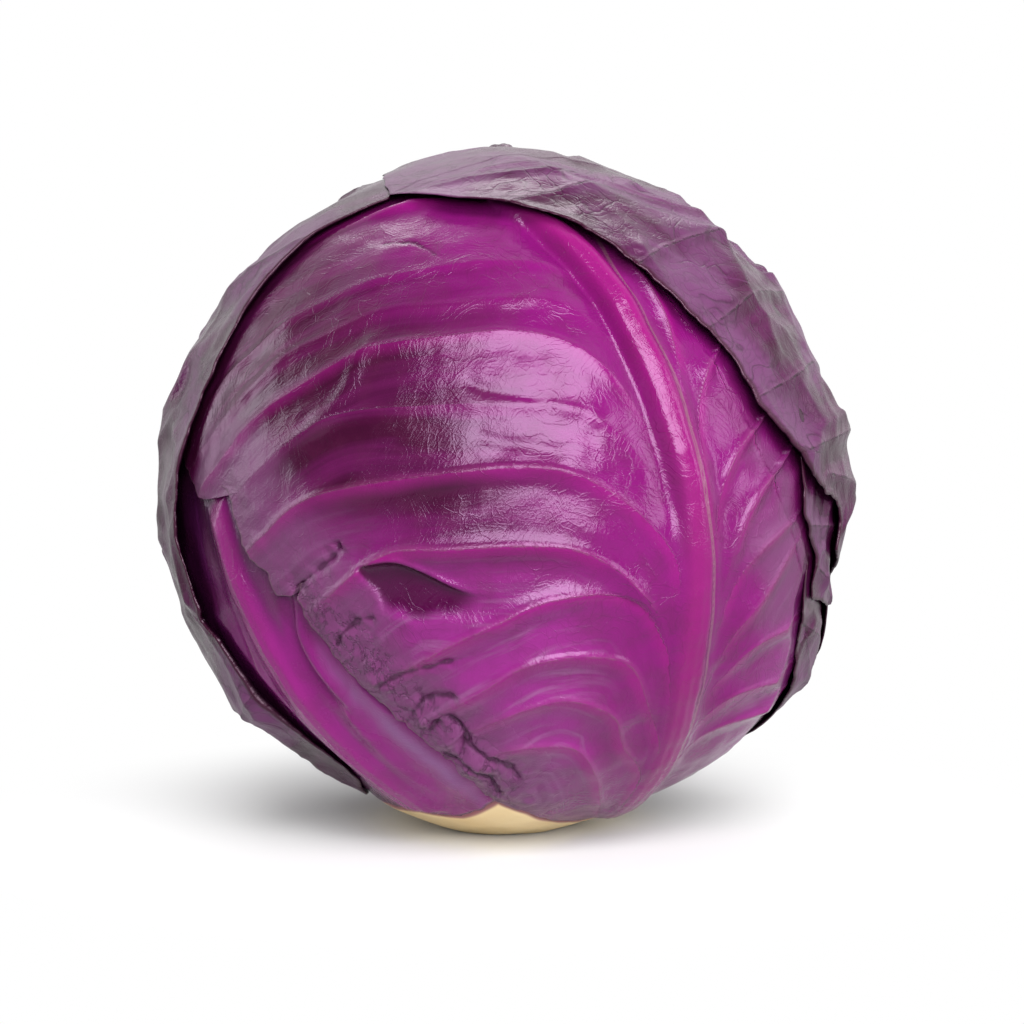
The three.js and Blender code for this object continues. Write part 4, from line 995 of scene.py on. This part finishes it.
# Leaf patterns, from top to bottom. Each is (work, parts ...), where a part is a number, an earlier pattern,
# a field of the mesh, a value of the look or another (work, parts ...).
patternWork = {
    "range": ("ShaderNodeMapRange", (0, 1, 2, 3, 4), 0, {"interpolation_type": "SMOOTHSTEP"}),
    "spot": ("ShaderNodeCombineXYZ", (0, 1, 2), 0, {}),
    "noise": ("ShaderNodeTexNoise", ("Vector", "Scale", "Detail", "Roughness", "Distortion"), "Fac", {}),
    "sway": ("ShaderNodeTexNoise", ("Vector", "Scale", "Detail"), "Color", {}),
    "bend": ("ShaderNodeMix", (0, 4, 5), 1, {"data_type": "VECTOR"}),
    "cells": ("ShaderNodeTexVoronoi", ("Vector", "Scale"), "Distance", {"feature": "DISTANCE_TO_EDGE"}),
}
leafPatterns = {
    # mm under the vein above, over the vein below and to the nearer one
    "panel": ("ABSOLUTE", "bands"),
    "under": ("MULTIPLY", ("FRACT", "panel"), "span"),
    "over": ("SUBTRACT", "span", "under"),
    "toVein": ("MINIMUM", "under", "over"),
    # 1 in wide, whole panels beside strong veins
    "firm": ("MULTIPLY", ("range", "span", 2, 7), ("range", "force", 0.25, 1, "faintest", 1)),
    "roomy": ("MULTIPLY", "firm", ("range", "rough", 0.2, 0.9, 1, 0.15)),
    # unevenness through the whole leaf
    "blotch": ("noise", "place", "blotchScale", 4, 0.6, 0.4),
    "mottle": ("noise", "place", "mottleScale", 5, 0.6),
    "wander": ("noise", "place", "wanderScale", 3, 0.5),
    "pucker": ("noise", "place", "puckerScale", 4, 0.65, 0.6),
    "grain": ("noise", "place", "grainScale", 3, 0.6),
    # a red stripe under each vein, a lip with a painted highlight over the next one and a broken line on the
    # vein
    "stripe": ("MULTIPLY", ("range", ("MULTIPLY_ADD", "wander", 2, "under"), 1.2, 4.2, 1, 0), "roomy"),
    "lip": ("MULTIPLY", ("range", "over", 0.1, 1.3, 1, 0), "roomy"),
    "dash": ("noise", ("spot", ("DIVIDE", "ribGap", "dashLength"), "panel", "panel"), 1, 3, 0.6),
    "veinLine": ("MULTIPLY", ("range", "toVein", "lineCore", "lineWidth", 1, 0), "roomy"),
    "line": ("MULTIPLY", "veinLine", ("range", "dash", 0.38, 0.62)),
    # streaks, wrinkles and clouds drawn out along the panels
    "streakAlong": ("DIVIDE", "ribGap", "streakLength"),
    "streak": ("noise", ("spot", "streakAlong", ("DIVIDE", "under", "streakWidth"), "panel"), 1, 4, 0.6),
    "wrinkleAlong": ("DIVIDE", ("ADD", "ribGap", "under"), "wrinkleWidth"),
    "wrinkleSpot": ("spot", "wrinkleAlong", ("DIVIDE", "under", "wrinkleLength"), ("MULTIPLY", "panel", 3)),
    "wrinkle": ("noise", "wrinkleSpot", 1, 3, 0.6, 0.4),
    "cloudAlong": ("DIVIDE", "ribGap", "cloudLength"),
    "cloud": ("noise", ("spot", "cloudAlong", ("DIVIDE", "under", "cloudWidth"), "panel"), 1, 2, 0.5),
    # fine net of veins: cell borders at two sizes
    "bent": ("bend", 0.035, "place", ("sway", "place", "swayScale", 2)),
    "netEdge": ("range", ("cells", "bent", "netScale"), 0, 0.05, 1, 0),
    "netLine": ("MULTIPLY", "netEdge", ("range", "wander", 0.42, 0.6)),
    "fineNetLine": ("range", ("cells", "bent", "fineNetScale"), 0, 0.12, 1, 0),
    # torn skin: fine creases where a noise crosses its middle value, bumped in and darkened as painted shade
    "tearing": ("noise", "place", "tearScale", 5, 0.65, 0.8),
    "tearLine": ("range", ("ABSOLUTE", ("SUBTRACT", "tearing", 0.5)), 0, 0.025, 1, 0),
    "tear": ("MULTIPLY", "tearLine", ("range", "rough", 0.35, 1)),
    # where wax has bloomed, and where the skin is calm, with little streaking and wrinkling
    "waxy": ("MULTIPLY_ADD", ("SUBTRACT", "blotch", 0.5), 1.2, "bloom"),
    "coated": ("range", "waxy", "bloomFrom", "bloomTo", 0, "bloomShare"),
    "bloomed": ("MULTIPLY", "coated", ("range", "cover", 1, 6)),
    "calm": ("MULTIPLY_ADD", "vivid", -0.85, 1),
    # the midrib, with two pale strands side by side in its groove
    "nearRib": ("range", ("ABSOLUTE", "ribGap"), 1, "ribWidth", "ribShare", 0),
    "strandOff": ("MULTIPLY_ADD", ("SUBTRACT", "wander", 0.5), 0.5, "strand"),
    "strandGap": ("ABSOLUTE", ("SUBTRACT", "strandOff", 0.3)),
    # roughness: more where wax has bloomed, a little uneven everywhere
    "satin": ("MULTIPLY_ADD", "bloomed", "bloomRough", "roughness"),
    "gloss": ("MULTIPLY_ADD", ("SUBTRACT", "mottle", 0.5), 0.12, "satin"),
}
# from the skin's own colour up to what lies over it, as (how far it covers what lies under it, colour); some
# of these layers are painted light and shade, as marked
colourLayers = [
    (("range", "cloud", 0.38, 0.62), "cloud"),
    ("vivid", "skin"),
    # a lighter wash low down, partly the leaf's own and partly painted light from the floor
    ("lowToneAndFloorLight", "soft"),
    (("MULTIPLY", ("range", "streak", 0.35, 0.72, 0, "streakShare"), "calm"), "streak"),
    (("range", "mottle", 0.4, 0.7, 0, 0.3), "speck"),
    ("bloomed", "bloom"),
    # lilac streaks low down, partly painted light from the floor
    (("MULTIPLY", ("range", "streak", 0.48, 0.72, 0, "hazeShare"), "lowToneAndFloorLight"), "haze"),
    (("MULTIPLY", "stripe", "stripeShare"), "stripe"),
    # painted highlight on the lip over each vein
    (("MULTIPLY", "lip", "lipShare"), "lip"),
    (("MULTIPLY", "netLine", "netShare"), "net"),
    (("MULTIPLY", "fineNetLine", "fineNetShare"), "net"),
    (("MULTIPLY", "line", "lineShare"), "line"),
    (("MULTIPLY", "nearRib", "ribbed"), "rib"),
    (("range", "strandGap", 0.05, 0.28, "strandShare", 0), "strand"),
    # painted shade in the torn skin's fine creases
    (("MULTIPLY", "tear", 0.22), "deep"),
    # painted shade in the hollow
    (("range", "hollow", 0.2, 0.7, 0, 0.9), "sunk"),
    # painted shade in the cracks
    (("range", "crack", 0.1, 0.7, 0.6, 0), "deep"),
    # painted shade beside and under the margins of the leaves lying above
    (("range", "cover", 0, "shadeReach", "shadeShare", 0), "deep"),
    # the raised creases in the pale bloom colour: partly bloom, partly a painted highlight along them
    (("range", "crease", 0, 0.1, "creaseShare", 0), "bloom"),
    (("range", "rim", 0.3, "rimWidth", "rimShare", 0), "rim"),
    # painted shade on the blade's edge and inner face
    ("inside", "deep"),
    (("range", "stemGap", -0.6, 0.5, 0.9, 0), "stain"),
]
# bump in mm, as (pattern, height)
bumpLayers = [
    ("netLine", "netBump"), ("fineNetLine", "fineNetBump"), (("MULTIPLY", "wrinkle", "calm"), "wrinkleBump"),
    ("pucker", "puckerBump"), (("MULTIPLY", "streak", "calm"), "streakBump"), ("grain", "grainBump"),
    ("line", "lineBump"), ("lip", "lipBump"), ("tear", "tearBump"),
]
# real sizes of the patterns in mm; the skin's cells are finer than the grain, which is coarse enough to show
patternSizes = {"blotch": 22.2, "mottle": 7.14, "wander": 14.3, "pucker": 2.38, "grain": 0.714, "sway": 16.7,
                "tear": 6.25}


def addPattern(tree, known, part):
    # the number or the output that a part of a pattern stands for
    if isinstance(part, str):
        return known[part]
    if not isinstance(part, tuple):
        return part
    work, *parts = part
    kind, slots, out, settings = patternWork.get(work, ("ShaderNodeMath", (0, 1, 2), 0, {"operation": work}))
    parts = [addPattern(tree, known, one) for one in parts]
    return addNode(tree, kind, dict(zip(slots, parts)), out, **settings)


def leafMaterial(name, colours, values):
    # living leaf skin: it grew as pigmented flesh under a thin wax film, so it is glossy where the film is
    # whole and dull and greyish where the wax has bloomed; torn skin is duller and bare, its fine creases
    # and cracks darkened as painted shade. Painted shade also fills the hollow, the skin beside the margins
    # of the leaves above and the inner face; painted highlights lie on the vein lips and along the raised
    # creases, and the low panels get a lighter wash that is partly painted light from the floor
    material = newMaterial(name)
    tree = material.node_tree
    known = {"place": addNode(tree, "ShaderNodeTexCoord", out="Object"), **values}
    for field in skinFields:
        known[field] = addNode(tree, "ShaderNodeAttribute", out="Fac", attribute_name=field)
    sizes = {**patternSizes, "net": values["netSize"], "fineNet": values["netSize"] / 2.9}
    known.update({pattern + "Scale": 1000 / size for pattern, size in sizes.items()})
    for pattern, part in leafPatterns.items():
        known[pattern] = addPattern(tree, known, part)
    colour = linear(colours["dull"])
    for share, tone in colourLayers:
        layer = {0: addPattern(tree, known, share), 6: colour, 7: linear(colours[tone])}
        colour = addNode(tree, "ShaderNodeMix", layer, 2, data_type="RGBA", clamp_factor=True)
    heights = 0.0
    for pattern, height in bumpLayers:
        terms = [addPattern(tree, known, pattern), values[height], heights]
        heights = addNode(tree, "ShaderNodeMath", terms, operation="MULTIPLY_ADD")
    bump = addNode(tree, "ShaderNodeBump", {"Strength": 1.0, "Distance": 0.001, "Height": heights})
    shader = addNode(tree, "ShaderNodeBsdfPrincipled", {
        "Base Color": colour, "Roughness": known["gloss"], "Normal": bump, "IOR": 1.45,
        "Specular IOR Level": values["specular"], "Specular Tint": linear(colours["tint"])})
    addNode(tree, "ShaderNodeOutputMaterial", {"Surface": shader})
    return material


# the looks: sRGB colours, then shares, widths and bump heights in mm
# deep and sunk are painted shade and lip a painted highlight; soft and haze wash the low panels lighter,
# partly as painted light from the floor
frontColours = {
    "dull": "#2f0720", "cloud": "#480f3a", "skin": "#610b52", "soft": "#6f1c62", "haze": "#74486e",
    "streak": "#230417", "speck": "#441630", "bloom": "#5a2f52", "net": "#340a23", "stripe": "#740b5c",
    "lip": "#772f5f", "line": "#683954", "deep": "#16010c", "sunk": "#2e0020", "rib": "#731156",
    "rim": "#583849", "tint": "#f8d8ff", "strand": "#6e5058", "stain": "#85244a",
}
frontValues = {
    "faintest": 0.12, "hazeShare": 0.6, "bloomFrom": 0.25, "bloomTo": 0.95, "bloomShare": 0.75,
    "streakShare": 0.45, "stripeShare": 0.65, "lipShare": 0.25, "netShare": 0.12, "fineNetShare": 0.048,
    "lineShare": 0.45, "lineWidth": 0.28, "lineCore": 0.14, "dashLength": 2.86, "streakLength": 20.0,
    "streakWidth": 1.82, "wrinkleLength": 1.67, "wrinkleWidth": 0.4545, "cloudLength": 28.6,
    "cloudWidth": 6.25, "ribWidth": 5.0, "ribShare": 0.6, "strandShare": 0.5, "creaseShare": 0.0,
    "rimWidth": 0.5, "rimShare": 0.6, "shadeReach": 3.0, "shadeShare": 0.6, "netSize": 5.26,
    "netBump": 0.03, "fineNetBump": 0.015,
    "wrinkleBump": 0.09, "puckerBump": 0.05, "streakBump": 0.10, "grainBump": 0.012, "lineBump": 0.05,
    "lipBump": 0.22, "tearBump": -0.18, "roughness": 0.2, "bloomRough": 0.22, "specular": 0.4,
}
ribColours = {**frontColours, "dull": "#300b2c", "cloud": "#3a1038", "bloom": "#76547e", "skin": "#701060",
              "rib": "#7c1765", "line": "#866872"}
ribValues = {
    **frontValues, "bloomShare": 0.8, "netShare": 0.0, "fineNetShare": 0.0, "stripeShare": 0.0,
    "lipShare": 0.0, "lineShare": 0.4, "strandShare": 0.0, "wrinkleBump": 0.02, "puckerBump": 0.07,
    "lipBump": 0.0, "roughness": 0.27, "specular": 0.42, "shadeReach": 1.8, "shadeShare": 0.45,
}
# deep and sunk are painted shade, lip a painted highlight, and bloom, along the raised creases, partly a
# painted highlight
outerColours = {
    "dull": "#2c041e", "cloud": "#3f0b34", "skin": "#3f1433", "soft": "#3f1433", "haze": "#503450",
    "streak": "#1e0416", "speck": "#3f1638", "bloom": "#552b50", "net": "#1c0514", "stripe": "#280a20",
    "lip": "#583850", "line": "#1b0514", "deep": "#11010b", "sunk": "#11010b", "rib": "#4a1c3e",
    "rim": "#2c0a1e", "tint": "#ffe2f6", "strand": "#36142a", "stain": "#85244a",
}
outerValues = {
    **frontValues, "faintest": 1.0, "hazeShare": 0.0, "bloomFrom": 0.36, "bloomTo": 0.82, "bloomShare": 0.85,
    "streakShare": 0.35, "stripeShare": 0.3, "lipShare": 0.4, "netShare": 0.5, "fineNetShare": 0.2,
    "lineShare": 0.85, "lineWidth": 0.34, "lineCore": 0.17, "ribWidth": 4.0, "ribShare": 0.3,
    "strandShare": 0.0, "creaseShare": 0.5, "rimWidth": 1.4, "rimShare": 0.95, "shadeReach": 1.5,
    "shadeShare": 0.4, "netSize": 11.1, "netBump": -0.06, "fineNetBump": -0.03, "wrinkleBump": 0.08,
    "puckerBump": 0.08, "streakBump": 0.06, "grainBump": 0.02, "lineBump": -0.06, "lipBump": 0.08,
    "roughness": 0.25, "bloomRough": 0.14, "specular": 0.36,
}
leafMaterials = {
    "front": leafMaterial("waxyLeafSkin", frontColours, frontValues),
    "rib": leafMaterial("waxyRibSkin", ribColours, ribValues),
    "outer": leafMaterial("bloomedLeafSkin", outerColours, outerValues),
}
print("leaf materials done")


def dress(piece, material, node):
    piece.data.materials.append(material)
    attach(piece, "root")
    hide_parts(node)
    print("piece done:", piece.name, len(piece.data.polygons), "faces")


stemAxes = chartAxes([0, -90])
stemRing = toChart(direction(stemForm["outline"]), stemAxes)
stemRing = np.column_stack([stemRing, np.zeros(len(stemRing))])
for leaf in leaves:
    leaf["axes"] = chartAxes(leaf["middle"])
    margin = np.array([spot + [0] if len(spot) == 2 else spot for spot in leaf["margin"]], float)
    leaf["outline"] = np.column_stack([toChart(direction(margin), leaf["axes"]), margin[:, 2]])

for leaf in leaves:
    prepareVeins(leaf)
    steps = 32 * leaf["cells"]      # an eighth of a cell along the outline
    shell = makeShell(leaf["piece"], leaf["cells"],
                      lambda ring, turn, fine: leafShape(leaf, ring, turn, steps, fine))
    dress(shell, leafMaterials[leaf["finish"]], leaf["node"])


def stemShape(ring, turn, fine):
    # a rounded plug sliced flat by the knife: the lower of a ball and a plane; its border runs on, a little
    # deeper, under the leaf bases
    form = stemForm
    plug = {"piece": "cutStem", "layer": 0, "ragged": form["ragged"], "axes": stemAxes,
            "outline": stemRing * np.array([form["tuck"], form["tuck"], 1])}
    places, _, rim = spreadOver(plug, ring, turn, form["outlineSteps"])
    points = toHead(places, stemAxes)
    gap = outsideBy(places, stemRing[:, :2]) * mmPerDegree
    radius = form["radius"] + swell(points) + swelling(points, *form["foot"])
    radius -= form["tuckDepth"] * smooth(form["tuckFrom"], form["tuckTo"], gap)
    radius += fine * form["waves"] * ripple(points, form["waveSize"], 81)
    outer = np.minimum(radius, head["middle"] / np.maximum(-points[:, 2], 0.3))
    inner = head["firstLeaf"] - head["blade"] - head["heartAir"] + head["leafAir"] + swell(points)
    return points, outer, np.minimum(inner, outer - form["leastWall"]), {"stemGap": gap, "rim": rim}


# colours, and the sizes of its clouds and fibres in mm
stemLook = {"shade": "#d4b67c", "pith": "#e2cfa6", "skinRing": "#7b3750", "cloudSize": 16.7,
            "fibreSize": 1.43, "ringFrom": -0.9, "ringTo": -0.1, "ringShare": 0.9}


def stemMaterial(look):
    # raw cabbage pith, sliced by a knife: moist, pale and faintly fibrous, so its gloss is broad and soft,
    # with a crimson ring where the skin was cut
    material = newMaterial("cutPith")
    tree = material.node_tree
    place = addNode(tree, "ShaderNodeTexCoord", out="Object")
    cloudScale, fibreScale = 1000 / look["cloudSize"], 1000 / look["fibreSize"]
    cloud = addNode(tree, "ShaderNodeTexNoise", {"Vector": place, "Scale": cloudScale, "Detail": 4})
    base = addNode(tree, "ShaderNodeMix", {0: cloud, 6: linear(look["shade"]), 7: linear(look["pith"])}, 2,
                   data_type="RGBA")
    gap = addNode(tree, "ShaderNodeAttribute", out="Fac", attribute_name="stemGap")
    ring = addNode(tree, "ShaderNodeMapRange", [gap, look["ringFrom"], look["ringTo"], 0, look["ringShare"]],
                   interpolation_type="SMOOTHSTEP")
    base = addNode(tree, "ShaderNodeMix", {0: ring, 6: base, 7: linear(look["skinRing"])}, 2,
                   data_type="RGBA")
    fibre = addNode(tree, "ShaderNodeTexNoise", {"Vector": place, "Scale": fibreScale, "Detail": 3})
    bump = addNode(tree, "ShaderNodeBump", {"Strength": 0.4, "Distance": 0.0002, "Height": fibre})
    shader = addNode(tree, "ShaderNodeBsdfPrincipled",
                     {"Base Color": base, "Normal": bump, "Roughness": 0.5, "IOR": 1.4})
    addNode(tree, "ShaderNodeOutputMaterial", {"Surface": shader})
    return material


dress(makeShell("cutStem", stemForm["cells"], stemShape), stemMaterial(stemLook), "stem")

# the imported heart: its grid, how far in degrees a leaf's margin presses on it, and its skin's fields
heartForm = {"columns": 160, "rows": 80, "pressed": 8, "bandStep": 6, "veinStep": 60}
# a cover of 1 mm gives the heart a little of the painted shade meant for skin under a leaf's margin
heartSkin = {"span": 12.0, "bloom": 0.2, "rim": 30.0, "cover": 1.0, "crease": 1.0, "stemGap": 9.0,
             "vivid": 0.5, "crack": 9.0, "strand": 9.0}


def makeHeart():
    # ball whose radius at each place is that of the lowest leaf over it, less the blade and the air
    columns, rows = heartForm["columns"], heartForm["rows"]
    turn, rise = np.meshgrid(np.linspace(0, 360, columns, endpoint=False),
                             np.linspace(-90, 90, rows + 1)[1:-1])
    points = direction(np.column_stack([turn.ravel(), rise.ravel()]))
    points = np.vstack([points, [[0, 0, -1], [0, 0, 1]]])
    radius = layerRadius(leaves[-1], points)
    for leaf in leaves:
        near = outsideLeaf(leaf, points) < heartForm["pressed"]
        pressed = np.minimum(radius, layerRadius(leaf, points) - sunkBy(leaf, points)[0])
        radius = np.where(near, pressed, radius)
    near = outsideBy(toChart(points, stemAxes), stemRing[:, :2]) < heartForm["pressed"]
    radius = np.where(near, head["firstLeaf"], radius)
    radius += swell(points) - head["blade"] - head["heartAir"]
    i, j = np.meshgrid(np.arange(columns), np.arange(rows - 2))
    a = (j * columns + i).ravel()
    b = (j * columns + (i + 1) % columns).ravel()
    faces = [np.stack([a, b, b + columns], -1), np.stack([a, b + columns, a + columns], -1)]
    south, north = len(points) - 2, len(points) - 1
    first = np.arange(columns)
    last = first + (rows - 2) * columns
    faces.append(np.stack([np.full(columns, south), np.roll(first, -1), first], -1))
    faces.append(np.stack([np.full(columns, north), last, np.roll(last, -1)], -1))
    fields = {key: np.full(len(points), heartSkin.get(key, 0.0)) for key in skinFields}
    fields["bands"] = points[:, 0] * heartForm["bandStep"]
    fields["ribGap"] = points[:, 2] * heartForm["veinStep"]
    return addMesh("packedHeart", inPlace(points, radius), np.vstack(faces), fields)


dress(makeHeart(), leafMaterials["rib"], "heart")

# the studio, in metres and watts
studio = {
    "floor": 6.0, "floorDrop": 0.0002, "paper": "#cbcbcb", "bounce": 0.7, "glowFrom": 0.05, "glowTo": 0.12,
    "worldFront": 0.08, "worldBack": 1.0, "frontEnd": -0.3, "backEnd": 0.35,
    "softboxes": {
        "front": {"place": (0.25, -1.05, 0.66), "size": (1.15, 1.0), "watts": 48.0},
        "top": {"place": (-0.05, 0.75, 1.0), "size": (0.9, 0.4), "watts": 4.0},
        "right": {"place": (1.15, -0.35, 0.40), "size": (0.30, 0.9), "watts": 5.0},
        "left": {"place": (-1.2, 0.25, 0.35), "size": (0.5, 0.9), "watts": 5.0},
    },
}


def makeSoftbox(name, look):
    data = bpy.data.lights.new(name + "Softbox", "AREA")
    data.shape = "RECTANGLE"
    data.size, data.size_y = look["size"]
    data.energy = look["watts"]
    lamp = bpy.data.objects.new(name + "Softbox", data)
    lamp.location = look["place"]
    aim(lamp, (0, 0, head["middle"] * 0.001))
    bpy.context.scene.collection.objects.link(lamp)


def makeFloor(look):
    # matt white paper near the head, washed out to pure white further off
    corners = [[x * look["floor"], y * look["floor"], -look["floorDrop"]] for x, y in
               ((-1, -1), (1, -1), (1, 1), (-1, 1))]
    floor = addMesh("studioFloor", np.array(corners), np.array([[0, 1, 2, 3]]))
    paper = newMaterial("whitePaperSweep")
    tree = paper.node_tree
    place = addNode(tree, "ShaderNodeTexCoord", out="Object")
    away = addNode(tree, "ShaderNodeVectorMath", [place], "Value", operation="LENGTH")
    share = addNode(tree, "ShaderNodeMapRange", [away, look["glowFrom"], look["glowTo"]],
                    interpolation_type="SMOOTHSTEP")
    matt = addNode(tree, "ShaderNodeBsdfDiffuse", {"Color": linear(look["paper"])})
    ray = addNode(tree, "ShaderNodeLightPath", out="Is Camera Ray")
    strength = addNode(tree, "ShaderNodeMix", {0: ray, 2: look["bounce"], 3: 1.0}, data_type="FLOAT")
    glow = addNode(tree, "ShaderNodeEmission", {"Color": (1, 1, 1, 1), "Strength": strength})
    both = addNode(tree, "ShaderNodeMixShader", [share, matt, glow])
    addNode(tree, "ShaderNodeOutputMaterial", {"Surface": both})
    floor.data.materials.append(paper)


def makeWorld(look):
    # white paper behind the head, a dim room in front; always white to the camera
    world = bpy.data.worlds.new("studio")
    bpy.context.scene.world = world
    world.use_nodes = True
    tree = world.node_tree
    tree.nodes.clear()
    way = addNode(tree, "ShaderNodeTexCoord", out="Generated")
    back = addNode(tree, "ShaderNodeSeparateXYZ", [way], "Y")
    share = addNode(tree, "ShaderNodeMapRange",
                    [back, look["frontEnd"], look["backEnd"], look["worldFront"], look["worldBack"]],
                    interpolation_type="SMOOTHSTEP")
    ray = addNode(tree, "ShaderNodeLightPath", out="Is Camera Ray")
    strength = addNode(tree, "ShaderNodeMix", {0: ray, 2: share, 3: 1.0}, data_type="FLOAT")
    glow = addNode(tree, "ShaderNodeBackground", {"Color": (1, 1, 1, 1), "Strength": strength})
    addNode(tree, "ShaderNodeOutputWorld", {"Surface": glow})


for name, look in studio["softboxes"].items():
    makeSoftbox(name, look)
makeFloor(studio)
makeWorld(studio)
print("studio done")
